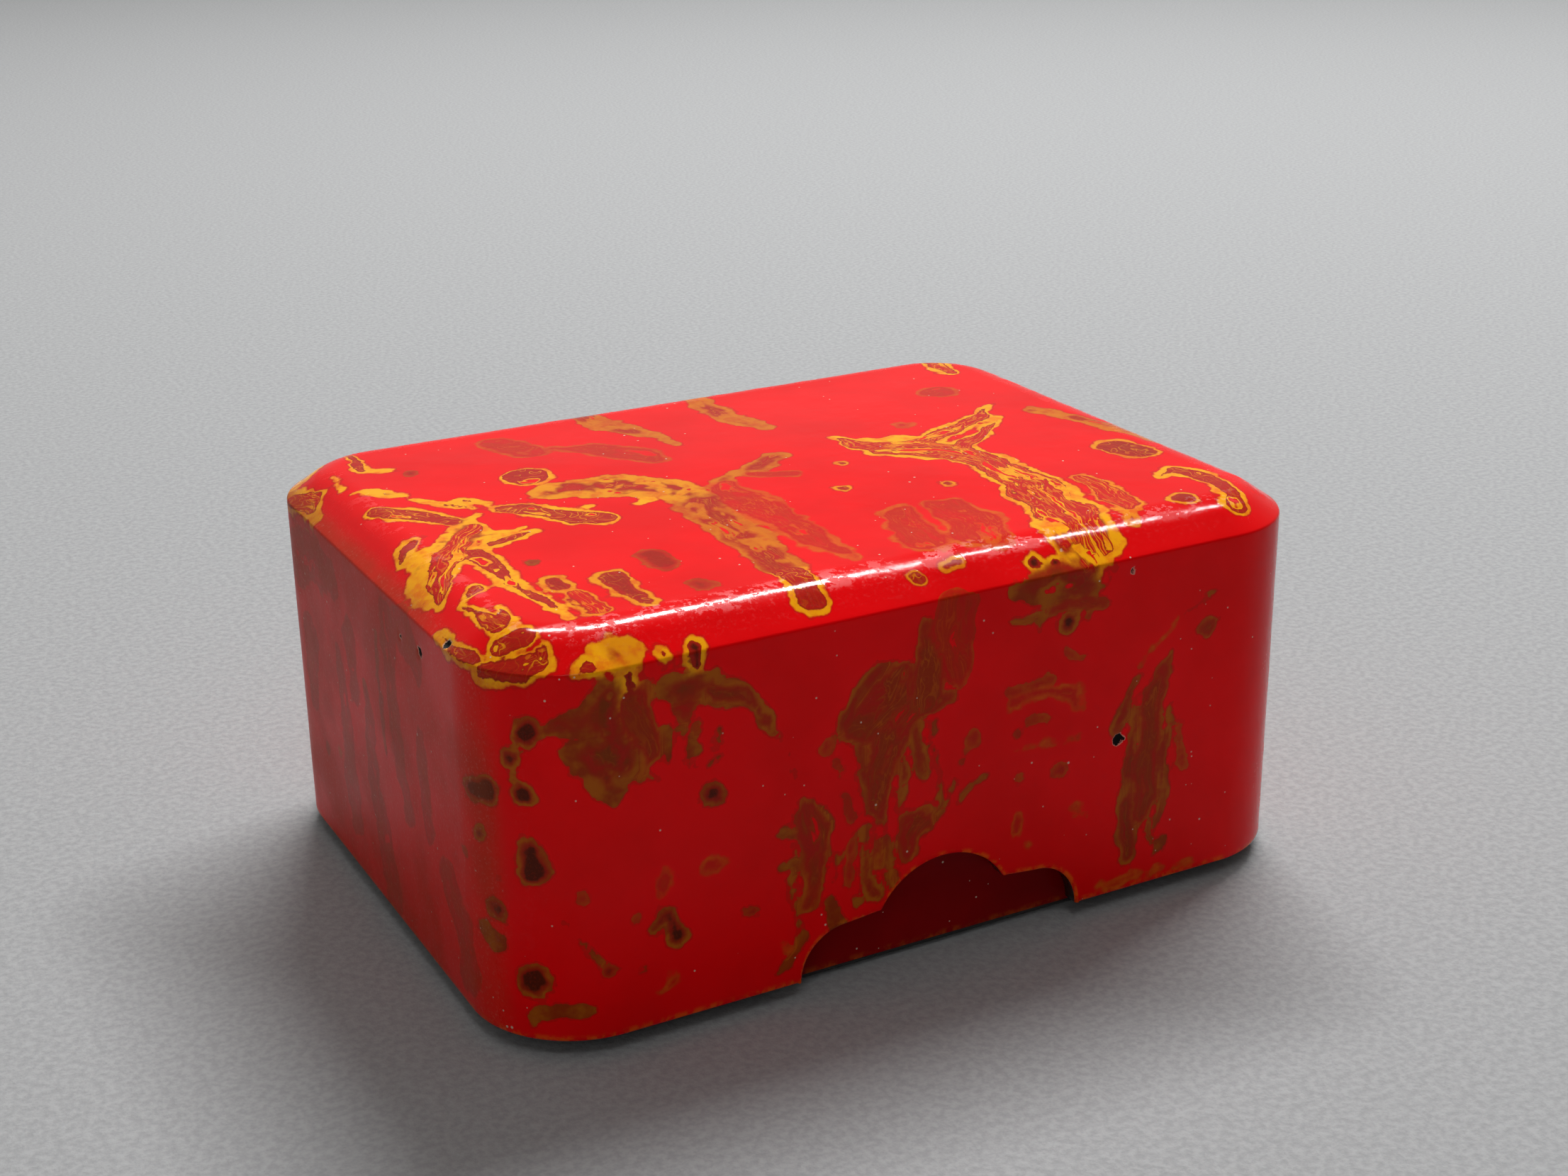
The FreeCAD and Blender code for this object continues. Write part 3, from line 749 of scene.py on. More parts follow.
def makeBronze(name):
    # bronze gone brown, rubbed bright on its corners, with green in the quiet places
    it = Finish(name)
    place = it.millimetres()
    cloud = it.noise(place, 0.16, 5.0, 0.65)
    colour = it.mix(it.step(cloud, 0.38, 0.64), bronzeLook["deep"], bronzeLook["pale"])
    verdigris = it.marks(place, *bronzeLook["greenMarks"])
    colour = it.over(colour, bronzeLook["green"], verdigris, 0.5)
    bright = it.times(it.attribute("worn"), it.marks(place, *bronzeLook["brightMarks"]))
    colour = it.mix(bright, colour, bronzeLook["bright"])
    rough = it.plus(it.step(cloud, 0.3, 0.7, *bronzeLook["rough"]), it.times(verdigris, 0.2),
                    it.times(bright, -0.14))
    height = it.plus(it.noise(place, 1.4, 4.0), it.times(verdigris, 0.4))
    return it.finish(Base_Color=colour, Metallic=it.plus(0.95, it.times(verdigris, -0.6)),
                     Roughness=rough, Normal=it.bump(height, bronzeLook["relief"]))


sootInk = {
    "deep": rgb(0.008, 0.008, 0.010),
    "pale": rgb(0.028, 0.025, 0.024),
    "bloom": rgb(0.07, 0.062, 0.055),
    "gilt": rgb(0.60, 0.40, 0.12),
    "bloomMarks": (0.12, 4.0, 0.55, 0.52, 0.75),
    "giltLeft": (0.55, 4.0, 0.7, 0.36, 0.50),
    "rough": (0.40, 0.60),
    "relief": 0.00007,
}


def makeInk(name):
    # pressed soot and glue: dull black with a faint warm bloom, gilt left in the sunk border
    it = Finish(name)
    place = it.millimetres()
    grain = it.noise(place, 2.0, 5.0, 0.7)
    colour = it.mix(it.step(grain, 0.35, 0.7), sootInk["deep"], sootInk["pale"])
    colour = it.over(colour, sootInk["bloom"], it.marks(place, *sootInk["bloomMarks"]), 0.3)
    kept = it.times(it.attribute("gilt"), it.marks(place, *sootInk["giltLeft"]))
    colour = it.mix(kept, colour, sootInk["gilt"])
    crack = it.line(it.streaks(place, (0.12, 0.5, 0.5), 4.0, 0.55, 1.2), 0.5, 0.008)
    height = it.plus(it.times(grain, 0.4), it.times(crack, -1.2))
    rough = it.plus(it.step(grain, 0.3, 0.7, *sootInk["rough"]), it.times(kept, -0.1))
    return it.finish(Base_Color=colour, Metallic=it.times(kept, 0.8), Roughness=rough,
                     Normal=it.bump(height, sootInk["relief"]))


# How a pool of lacquer was rubbed back: width of its pale rim in mm, how olive the rim is, how
# dark the middle is, how ragged its edge is, how streaky it is, and how much of it shows
poolStyles = {
    "petal": (0.7, 0.05, 0.10, 0.5, 0.25, 1.0),
    "eye": (0.8, 0.05, 1.0, 0.4, 0.0, 1.0),
    "flame": (3.0, 0.0, 0.0, 1.0, 0.8, 1.0),
    "smear": (0.7, 0.05, 0.05, 0.9, 0.9, 1.0),
    "body": (1.9, 0.30, 0.0, 0.6, 0.3, 0.92),
    "fibre": (0.5, 0.2, 0.0, 1.0, 1.0, 0.75),
    "brown": (1.5, 0.60, 0.1, 0.8, 0.7, 0.8),
    "plum": (0.8, 0.25, 0.35, 0.4, 0.2, 0.9),
    "thin": (0.5, 0.25, 0.25, 0.5, 0.1, 0.85),
    "faint": (0.6, 0.8, 0.1, 0.8, 0.3, 0.5),
    "mist": (0.8, 0.7, 0.0, 0.9, 0.6, 0.5),
    "ring": (0.55, 0.9, 1.0, 0.3, 0.0, 1.0),
    "dot": (0.15, 1.0, 1.0, 0.4, 0.0, 0.8),
    "olive": (1.3, 1.0, 0.2, 0.9, 0.2, 1.0),
    "strand": (0.6, 0.95, 0.2, 0.8, 0.9, 0.95),
    "smoke": (0.4, 0.95, 0.2, 1.0, 0.8, 0.86),
    "dusk": (0.5, 1.0, 0.7, 0.6, 0.3, 0.68),
    "shade": (0.3, 1.0, 0.3, 1.0, 0.9, 0.60),
    "haze": (0.1, 1.0, 0.0, 1.0, 0.3, 0.50),
}

# Each pool is a style and a run of circles (across, up or back, radius) in mm on a face of the lid
topPools = [
    ("petal", (-67.5, 15, 2.6), (-65, 11.5, 3.6), (-61.5, 7, 3.3), (-59, 3.5, 2.4)),
    ("petal", (-61, 18, 0.8), (-57, 13, 1.3), (-53, 8, 1.0)),
    ("petal", (-54, 13.5, 1.5), (-50.5, 9, 1.3)),
    ("flame", (-67, 27, 1.5), (-64, 23.5, 2.2), (-61, 21, 1.0)),
    ("petal", (-68.5, 38, 0.9), (-69, 31, 1.2)),
    ("petal", (-49, 5.5, 2.0), (-46, 3.5, 3.2), (-43, -1, 3.4), (-39.5, -5.5, 3.6),
     (-36.3, -8.3, 3.0)),
    ("petal", (-38.8, 19, 4.8)),
    ("body", (-38, 9.5, 4.6), (-31, 7.4, 5.8), (-25, 5, 5.6), (-20.5, 0, 5.2), (-19, -7, 4.6)),
    ("brown", (-19, -8, 4.6), (-20, -15, 4.4), (-20.6, -25, 4.6), (-20.8, -35, 4.7),
     (-21.3, -43, 4.3)),
    ("petal", (-22, -46, 3.2), (-22.3, -50, 3.5), (-22.3, -53, 3.7)),
    ("mist", (-12, -4, 3.4), (-11.5, -14, 4.4), (-11.5, -24, 4.4), (-11, -34, 3.4),
     (-10, -44, 2.0)),
    ("petal", (-36.5, -1.4, 1.2)),
    ("petal", (-28.5, -4.6, 0.9), (-26, -3.6, 1.5)),
    ("flame", (-54, 5.5, 1.2), (-59, 0.5, 1.7), (-65, -5.5, 2.0), (-70, -10.5, 2.2),
     (-73, -17, 1.8), (-74, -24, 1.2)),
    ("smear", (-57, 0, 2.8), (-62, -7, 3.6), (-67, -14, 4.0), (-70.5, -21, 3.0), (-73, -28, 1.2)),
    ("flame", (-57.5, -2.5, 1.4), (-61.5, -8.5, 1.8), (-66, -12.5, 1.5), (-67.5, -17.5, 1.2)),
    ("flame", (-59.5, -6, 2.4), (-55, -5.8, 1.7), (-49.5, -6.4, 0.9)),
    ("petal", (-57.5, -10.5, 2.0), (-52, -8.8, 1.7), (-48.5, -7.8, 0.9)),
    ("petal", (-61.5, -13, 3.4), (-60.8, -20, 2.9), (-61, -27, 1.9), (-60.3, -34, 1.7),
     (-59.5, -41, 1.7), (-58.8, -46.5, 1.0)),
    ("petal", (-67, -0.8, 1.0), (-69.8, -3.8, 2.0), (-71.5, -7, 1.3)),
    ("petal", (-69, -30, 1.0), (-66.2, -28, 1.8)),
    ("petal", (-70.4, -32, 1.0), (-69.8, -37, 1.6), (-69, -43, 2.2)),
    ("petal", (-66.6, -36.5, 0.9), (-67, -41, 1.5), (-67.4, -45, 1.2)),
    ("plum", (-55, -31, 2.4), (-55, -34, 2.7)),
    ("thin", (-57, -40, 0.9), (-56, -47, 0.8)),
    ("fibre", (-54, -38, 2.2), (-53.5, -46, 2.4)),
    ("plum", (-46.7, -33.5, 3.0), (-47, -40, 2.4), (-46.7, -46, 2.2)),
    ("ring", (-54.5, -21.5, 1.5)),
    ("dusk", (-37, -28.5, 2.6), (-36.8, -33, 3.0)),
    ("dusk", (-36, -44, 2.2)),
    ("dusk", (-56, 32, 1.8)),
    ("faint", (-36, 42, 3.5), (-33, 34, 4.5)),
    ("faint", (-28, 32, 2), (-22, 28, 3.4), (-17, 22, 4.2), (-15, 15, 2)),
    ("brown", (-12, 57, 3.0), (-15, 50, 3.0), (-15, 43, 3.6), (-11, 36, 2.8), (-9, 30, 1.5),
     (-8, 22, 0.8)),
    ("brown", (14, 58, 2.2), (9, 50, 2.6), (8, 42, 3.0), (8.5, 33, 3.2), (10.5, 24, 2.0)),
    ("smear", (-75, 42, 2.6), (-73.5, 34, 3.2), (-75, 28, 1.4)),
    ("petal", (-62, 48, 1.0), (-62.5, 38, 1.7), (-58, 36, 0.8)),
    ("flame", (-71.5, 46.5, 3.0), (-67.5, 51, 3.4)),
    ("brown", (-75, 41, 1.4), (-74, 45, 1.8)),
    ("brown", (-12, -1, 1.6), (-6, 1, 1.9), (0, 4, 2.8), (4, 7, 2.6)),
    ("faint", (-4, 0, 2.4), (1, -4, 2.4)),
    ("thin", (12, -3, 1.5)),
    ("thin", (5, -15, 1.4)),
    ("thin", (22.5, -22, 1.6)),
    ("faint", (34, 12, 1.9)),
    ("smear", (18.5, 11, 1.2), (21, 5, 2.8), (24, 2, 4.4)),
    ("smear", (24, 1, 4.8), (29, -2, 6.0), (33, -7, 5.0), (35, -12, 4.6)),
    ("flame", (23, 7, 1.6), (28, 6, 2.0), (33, 3, 1.8)),
    ("smear", (33, 2, 3.4), (39, 5, 3.0), (44, 7.5, 2.5), (50, 10, 1.9), (56, 15, 1.0)),
    ("smear", (36, -6, 3.0), (42, -1, 2.1), (48, 4, 1.9), (52, 8, 1.1)),
    ("smear", (36, -12, 4.4), (35.5, -20, 5.3), (35, -29, 5.8), (33, -38, 6.4), (31, -46, 6.6),
     (29.5, -53, 6.2)),
    ("flame", (28, -44, 2.8), (27.5, -50, 4.4), (27.5, -56, 4.4)),
    ("flame", (38.6, -34, 1.1), (38, -40, 1.5), (37, -46, 1.1), (35.5, -54, 1.5)),
    ("fibre", (45, -31, 2.2), (44.5, -38, 3.3), (42.5, -46, 3.1), (40, -52, 1.6)),
    ("plum", (60.5, -18.5, 4.5), (62, -22.5, 4.5)),
    ("petal", (57, -36.5, 1.3), (60.5, -35, 2.2), (63, -39, 2.6), (63, -45, 2.3), (61, -52, 3.1)),
    ("plum", (53, -48, 3.0)),
    ("mist", (7, -31, 3.6), (5, -37, 4.6), (4, -45, 4.8)),
    ("mist", (16, -32, 4.2), (16, -39, 5.4), (13, -47, 5.6)),
    ("brown", (61, 9, 1.8), (64, 1, 2.4), (67.5, -9, 2.4), (70.5, -19, 2.0)),
    ("smear", (66, 54, 3.6), (62, 46, 3.6), (61, 40, 2.2)),
    ("brown", (73, 46, 2.8), (74, 38, 2.0)),
    ("faint", (52, 28, 4)),
    ("eye", (18, -55.2, 2.0)),
    ("eye", (21.7, -55.8, 1.6)),
    ("thin", (-3, -53.5, 1.5)),
    ("thin", (2.6, -52.6, 1.2), (5.5, -52.2, 1.2)),
    ("petal", (-75, -33, 1.2), (-75.3, -40, 1.8), (-74.2, -45, 1.6)),
    ("petal", (-73.5, -48, 2.3), (-70, -51.5, 2.7), (-66.5, -52.8, 2.4), (-64.8, -51, 1.3)),
    ("petal", (-70.5, -46.5, 2.6), (-66, -47.5, 2.3)),
    ("flame", (-73.6, -52.6, 1.2), (-70.6, -55.4, 1.4), (-67.8, -56.8, 1.1)),
    ("petal", (-62.8, -57, 1.3), (-60.4, -56.2, 1.9)),
    ("flame", (-57.2, -55.4, 2.2)),
    ("body", (-54.8, -55.6, 3.2)),
    ("eye", (-49.3, -57.2, 1.7)),
    ("eye", (-43.6, -57, 2.0)),
]
frontPools = [
    ("olive", (-58.5, 57, 3.2), (-58.5, 52.5, 2.6)),
    ("olive", (-58, 48.5, 3.6), (-55.5, 45.8, 2.6)),
    ("smoke", (-54, 56, 2.4), (-53, 51, 2.8), (-52, 47, 2.2), (-52.8, 44.2, 1.1)),
    ("eye", (-53.4, 55.5, 0.5), (-54.2, 51.5, 0.8), (-54.6, 48.5, 0.4)),
    ("eye", (-55, 60, 1.6), (-54.8, 58, 1.5), (-56.2, 54.5, 0.9)),
    ("olive", (-49, 56.5, 1.4), (-46, 56, 2.4), (-41, 56, 2.0)),
    ("smoke", (-47, 54, 1.0), (-45, 53.5, 2.0), (-43.5, 50, 1.4)),
    ("eye", (-43.6, 61, 1.9), (-43.6, 59.3, 1.6)),
    ("olive", (-49.3, 50, 1.0), (-48.6, 47, 1.0), (-49, 44.2, 0.6)),
    ("olive", (-52.6, 43, 0.7), (-50.6, 42.8, 0.7)),
    ("olive", (-57.6, 41.6, 1.5), (-55, 42.6, 0.9)),
    ("olive", (-46, 50, 0.9), (-44.6, 47, 1.2), (-45.6, 44.8, 0.7)),
    ("strand", (-45.4, 44.2, 0.4), (-43.6, 42.6, 0.4), (-41.2, 43.4, 0.6)),
    ("olive", (-40.6, 47.6, 0.8), (-40.8, 45.8, 0.9)),
    ("strand", (-41.5, 55.5, 2.2), (-37.5, 53.2, 2.0), (-34.6, 50.3, 1.5), (-32, 47, 1.2)),
    ("strand", (-32, 47, 1.0), (-30.3, 44, 0.7), (-29, 41, 0.6), (-28.2, 38, 0.35)),
    ("ring", (-42, 37.5, 2.1)),
    ("faint", (-51, 25, 1.5), (-51, 22.6, 1.4)),
    ("faint", (-43, 24.8, 1.3), (-38.5, 23.2, 0.9)),
    ("dusk", (-55.2, 20, 0.9)),
    ("ring", (-52.2, 17.2, 1.1), (-50, 19, 1.4), (-48.6, 14.5, 1.9)),
    ("dot", (-36.5, 16, 0.9), (-34.6, 15.2, 0.8)),
    ("dusk", (-54.5, 10, 0.9)),
    ("faint", (-51.5, 6.2, 0.9), (-49.5, 7.4, 1.1)),
    ("faint", (-29.3, 8.5, 0.8), (-28.6, 6.6, 1.0)),
    ("smoke", (-26.6, 33, 0.7), (-25, 30, 2.6), (-24.6, 26, 2.8), (-25, 20, 2.2),
     (-25.4, 14, 1.7)),
    ("strand", (-27.9, 25, 0.6), (-27.6, 22.5, 0.6)),
    ("strand", (-28.2, 19.4, 0.6), (-27.6, 14, 0.7), (-26.6, 9, 0.6), (-28, 5, 0.9),
     (-31.5, 3.2, 0.8)),
    ("strand", (-24.2, 31.2, 0.5), (-22.4, 30, 0.6), (-21.6, 26.5, 0.5)),
    ("strand", (-22.8, 22.3, 0.5), (-21, 21.4, 0.6), (-20.6, 16, 0.5)),
    ("olive", (-30, 27.6, 0.9), (-27.4, 27.4, 0.9)),
    ("olive", (-30.4, 21, 0.8), (-28, 21.4, 0.8)),
    ("olive", (-21.6, 13.2, 1.0), (-20.8, 9, 1.3), (-19.6, 7, 2.0)),
    ("shade", (1.5, 59.5, 3.8), (0.5, 54, 4.4), (2.0, 48.5, 3.0)),
    ("smoke", (-3.5, 57, 1.6), (-3, 51, 3.2), (-4.5, 45, 3.6)),
    ("strand", (-11.6, 52.6, 1.1), (-13.6, 50, 1.6), (-16.8, 47, 1.7), (-18.6, 43.6, 1.8)),
    ("smoke", (-8, 50.5, 2.6), (-10.5, 46, 4.0), (-14, 42.5, 3.6), (-17.5, 42, 2.0)),
    ("smoke", (-2.5, 44, 2.2), (0.4, 43.6, 1.1)),
    ("smoke", (-8, 43, 3.6), (-11.5, 38, 3.8), (-13, 33, 2.8), (-12.4, 28.5, 2.4),
     (-11.6, 24, 1.0)),
    ("strand", (-16, 39.5, 0.9), (-15.6, 34, 1.2), (-14, 31, 1.5), (-14.2, 28, 1.0)),
    ("strand", (-9, 38.5, 0.7), (-8.5, 32, 0.8), (-8.4, 26, 0.6)),
    ("strand", (-5.5, 40.5, 1.4), (-5, 35, 1.6), (-4.6, 31.5, 0.7)),
    ("strand", (-2.2, 40, 0.6), (-1.8, 33, 0.5), (-1.9, 25.5, 0.5)),
    ("smoke", (-4.4, 27, 0.9), (-5, 23, 2.8), (-7.4, 19, 2.0), (-9, 15.6, 1.1)),
    ("strand", (-15.2, 24.4, 0.9), (-14.8, 20, 0.9), (-14, 16, 1.2), (-13, 12.8, 1.7)),
    ("smoke", (-13, 22, 0.9), (-12.4, 18, 1.2)),
    ("strand", (-11.4, 24, 0.8), (-11, 19, 0.9), (-9.6, 14, 1.2)),
    ("olive", (-16.6, 12, 0.7), (-16.8, 11, 0.6)),
    ("strand", (-2.2, 23.4, 0.7), (0, 26, 0.8), (1.6, 28.8, 0.6)),
    ("strand", (3.2, 25, 0.4), (7.2, 28.6, 0.6)),
    ("dusk", (2.8, 32.6, 0.6), (6, 36.6, 1.1)),
    ("dusk", (-21.7, 41, 1.2)),
    ("dusk", (-20, 37, 0.9), (-19.2, 35, 1.0)),
    ("dusk", (-18.5, 31, 0.8), (-17.8, 27.6, 1.1)),
    ("dusk", (-17.8, 23, 0.8), (-17.6, 16, 0.8)),
    ("olive", (12.6, 59.5, 1.4), (18, 59.8, 2.8), (25, 59.5, 3.2), (29, 57.5, 1.6)),
    ("smoke", (20, 57, 1.6), (25, 56.3, 1.9), (30.5, 54, 1.2)),
    ("strand", (11.6, 54.6, 0.4), (14, 54.4, 0.7), (16.6, 55.8, 0.7)),
    ("olive", (17.6, 55.6, 0.8), (17.6, 52.6, 0.5)),
    ("ring", (23, 52.7, 2.2)),
    ("dot", (27.8, 52.6, 0.5)),
    ("dusk", (22.9, 47.9, 0.8), (26, 46, 0.6)),
    ("dusk", (12.8, 42.4, 0.9), (19.6, 43, 0.9)),
    ("faint", (13, 40.6, 1.1), (20, 40.8, 1.2), (25, 39.6, 1.7), (26, 36.8, 1.6)),
    ("dusk", (16.4, 36.3, 0.9), (19.6, 36.2, 0.8)),
    ("dot", (13.3, 34.8, 0.7)),
    ("faint", (12, 31, 0.4), (18, 32, 0.5), (26, 31, 0.5)),
    ("dusk", (13.8, 26.8, 1.2)),
    ("dusk", (22.6, 26, 1.8)),
    ("faint", (24.8, 19, 0.5), (29, 17, 0.6)),
    ("faint", (14, 19.4, 1.4), (14, 17.4, 1.4)),
    ("faint", (17, 14, 0.9)),
    ("strand", (38.4, 40.4, 0.6), (36.8, 37.6, 1.3), (34.8, 33.6, 1.3), (33.2, 31.2, 1.2)),
    ("smoke", (45, 42.6, 0.5), (43, 40, 1.4), (41.6, 36, 2.1), (41.2, 30, 2.6), (40.4, 24, 3.0),
     (39.8, 18, 3.0), (39.4, 13.6, 1.8)),
    ("strand", (38.2, 36, 0.8), (37.2, 30, 1.2), (36.6, 24, 1.5), (36.2, 17, 1.8), (36.2, 11, 2.0),
     (36.8, 6.6, 1.7)),
    ("strand", (45.4, 34, 0.7), (44.8, 29, 1.0), (44.0, 23, 1.3), (43.4, 17, 1.4),
     (43.6, 11.6, 0.8)),
    ("strand", (41.4, 12, 0.7), (41.4, 9.4, 0.8), (43.2, 7.2, 0.6)),
    ("olive", (41.6, 4.8, 0.5), (44.0, 6.0, 0.9), (45.8, 8.6, 0.5)),
    ("dusk", (47.4, 29, 0.8), (48.2, 21, 1.0)),
    ("faint", (38, 42.6, 0.4), (42, 46, 0.6), (46, 48.2, 0.5)),
    ("strand", (49, 49.6, 0.5), (51.6, 51.2, 0.7), (54, 51.6, 0.5)),
    ("smoke", (51.4, 45.4, 1.2), (53.6, 47.2, 1.2)),
    ("faint", (31.5, 2.4, 0.9), (38, 1.8, 1.1), (45, 1.6, 0.9), (51, 2.2, 1.0)),
]
# on the left end, measured along the wall from where the front ends and the corner begins
leftPools = [
    ("olive", (8, 53.5, 2.2), (3, 54, 3.0)),
    ("olive", (4, 47.5, 4.0), (1, 44, 3.2)),
    ("ring", (13, 52, 2.5)),
    ("ring", (16, 48, 1.6)),
    ("ring", (16, 44.6, 0.8)),
    ("ring", (14.2, 42, 2.0)),
    ("ring", (24, 40.5, 2.4), (21, 41.5, 2.6)),
    ("ring", (23, 34, 1.4)),
    ("ring", (13.5, 33, 2.0), (13.5, 30, 2.9)),
    ("dusk", (6, 25.5, 1.2)),
    ("dot", (19.5, 27, 0.7)),
    ("ring", (20, 21.8, 2.0)),
    ("olive", (23, 18, 1.7), (20.5, 15.5, 1.8)),
    ("ring", (14, 10.5, 3.0)),
    ("dot", (2.5, 12.3, 1.3)),
    ("strand", (3.6, 14, 0.4), (5.6, 16.6, 0.5), (9, 21, 0.4)),
    ("olive", (15, 4.2, 1.3), (10, 5.5, 1.5), (6, 5, 1.2)),
    ("petal", (21, 59.5, 1.4), (17, 60, 1.2)),
    ("dusk", (28, 29.5, 1.0)),
    ("dusk", (57.5, 50, 0.9), (57.5, 40, 1.0), (56.5, 32, 1.2), (54.5, 24, 1.4)),
    ("haze", (58, 57, 3.4), (58, 44, 3.2), (56.5, 32, 2.8), (54.5, 24, 2.6)),
    ("dusk", (72, 40, 0.9), (71, 32, 1.3), (71, 24, 1.3), (69, 16, 1.4), (68, 10, 1.2)),
    ("haze", (72, 36, 2.0), (71, 22, 3.6), (68, 12, 4.4), (66, 4, 5.0)),
    ("dusk", (85, 36, 0.8), (85, 26, 1.3), (85, 20, 1.6), (84, 12, 1.2)),
    ("haze", (86, 40, 1.8), (85, 24, 3.6), (84, 10, 3.4)),
    ("haze", (79, 46, 3.6), (79, 36, 2.4)),
    ("dusk", (78.5, 43, 1.3), (78.5, 38, 0.9)),
    ("faint", (90, 20, 1.2)),
    ("dusk", (98, 18.5, 1.5)),
    ("haze", (36, 19, 4.0), (30, 13, 4.4), (30, 6, 3.6)),
    ("dusk", (33, 17.5, 1.4), (29, 11, 1.6)),
    ("haze", (50, 57, 5.0), (44, 54, 3.4)),
    ("haze", (106, 52, 6.0), (96, 55, 5.0), (88, 54, 4.0)),
    ("haze", (103, 38, 4.0), (104, 26, 3.0)),
    ("dusk", (64, 52, 0.8), (64.5, 40, 1.0), (63.5, 30, 0.7)),
    ("haze", (45, 40, 2.4), (44, 26, 3.0)),
]


pooling = {
    "warps": ((7, 1.7, (0, 0, 0)), (2.2, 0.6, (31, 7, 3))),  # size and strength in mm, and offset
    "softness": 0.35,               # mm over which neighbouring pools run into each other
    "ground": -5.0,                 # depth in mm given to the bare ground
    "deepest": 12,
    "margin": 6,                    # mm round a pool that it can reach
    "flowApart": 17.0,              # mm between the starts of two pools' streaks
    "heights": (0.08, 0.95),        # of scattered pools, as shares of the wall's
    "single": 0.35,                 # share of them that are one spot
    "spotRadius": (0.8, 2.6),
    "dripRadius": (1.0, 3.4),
    "dripSteps": (3, 6),
    "dripFall": (4.0, 8.0),
    "dripLean": 1.5,
    "dripStray": 1.2,
    "dripSwell": (0.5, 1.1),
    "lowest": 1.0,
}


def wallPlan(spec, distance):
    # a place on the wall, measured leftwards from the front's left end, and on round the back
    reachX = spec["length"] / 2 - spec["radius"]
    reachY = spec["width"] / 2 - spec["radius"]
    arc = spec["radius"] * math.pi / 2
    runs = ((2 * reachY, (-1, -1), -90), (2 * reachX, (-1, 1), 180),
            (2 * reachY, (1, 1), 90), (2 * reachX, (1, -1), 0))
    for straight, hands, facing in runs:
        if distance <= arc + straight:
            turn = math.radians(facing) - min(distance, arc) / spec["radius"]
            point, out = cornerPoint(spec, turn, *hands)
            return point + Vector((out.y, -out.x)) * max(0.0, distance - arc)
        distance -= arc + straight
    return wallPlan(spec, distance)


def crownLevel(spec, x, y):
    # height of the crown over a plan point
    radius, band = spec["radius"], spec["bandInset"]
    over = Vector((max(0, abs(x) - (spec["length"] / 2 - radius)),
                   max(0, abs(y) - (spec["width"] / 2 - radius))))
    inset = min(spec["length"] / 2 - abs(x), spec["width"] / 2 - abs(y))
    if over.x and over.y:
        inset = radius - over.length
    return spec["top"] - spec["ridgeDrop"] * (1 - max(0.0, min(inset, band)) / band)


def placePools(spec, top=(), front=(), around=()):
    # each pool's style and its run of (place, radius) in metres
    foot = min(spec["rimLevel"], spec["profile"][-1][1])

    def onTop(x, y):
        return Vector((x, y, crownLevel(spec, x, y)))

    def onFront(x, z):
        return Vector((x, -spec["width"] / 2, foot + z))

    def onWall(u, z):
        return Vector((*wallPlan(spec, u), foot + z))

    return [(style, [(place(u * mm, v * mm), radius * mm) for u, v, radius in run])
            for pools, place in ((top, onTop), (front, onFront), (around, onWall))
            for style, *run in pools]


def scatterPools(seed, start, end, height, count, styles):
    # pools for a stretch of wall, drips that lean a little and dots between them
    dice = random.Random(seed)
    stray, lowest = pooling["dripStray"], pooling["lowest"]
    pools = []
    for _ in range(count):
        u = dice.uniform(start, end)
        z = dice.uniform(*pooling["heights"]) * height
        style = dice.choice(styles)
        if style == "ring" or dice.random() < pooling["single"]:
            pools.append((style, (u, z, dice.uniform(*pooling["spotRadius"]))))
            continue
        lean = dice.uniform(-pooling["dripLean"], pooling["dripLean"])
        radius = dice.uniform(*pooling["dripRadius"])
        run = []
        for _ in range(dice.randint(*pooling["dripSteps"])):
            run.append((u, max(lowest, z), radius * dice.uniform(*pooling["dripSwell"])))
            u += lean + dice.uniform(-stray, stray)
            z -= dice.uniform(*pooling["dripFall"])
            if z < lowest:
                break
        pools.append((style, *run))
    return pools


def readVectors(data, field):
    values = np.empty(len(data) * 3)
    data.foreach_get(field, values)
    return values.reshape(-1, 3)


def runDepth(path, radii, spots, normals):
    # how deep spots lie in a run of circles, and where they lie along it and across it
    depth = np.full(len(spots), pooling["ground"])
    along, across = np.zeros(len(spots)), np.zeros(len(spots))
    walked = 0.0
    for start, end, startRadius, endRadius in zip(path, path[1:], radii, radii[1:]):
        run = end - start
        length = np.linalg.norm(run)
        share = np.clip((spots - start) @ run / length ** 2, 0, 1)
        apart = spots - (start + share[:, None] * run)
        here = startRadius + (endRadius - startRadius) * share - np.linalg.norm(apart, axis=1)
        sideways = np.einsum("ij,ij->i", np.cross(run / length, apart), normals)
        better = here > depth
        depth[better] = here[better]
        along[better] = (walked + share * length)[better]
        across[better] = sideways[better]
        walked += length
    return depth, along, across


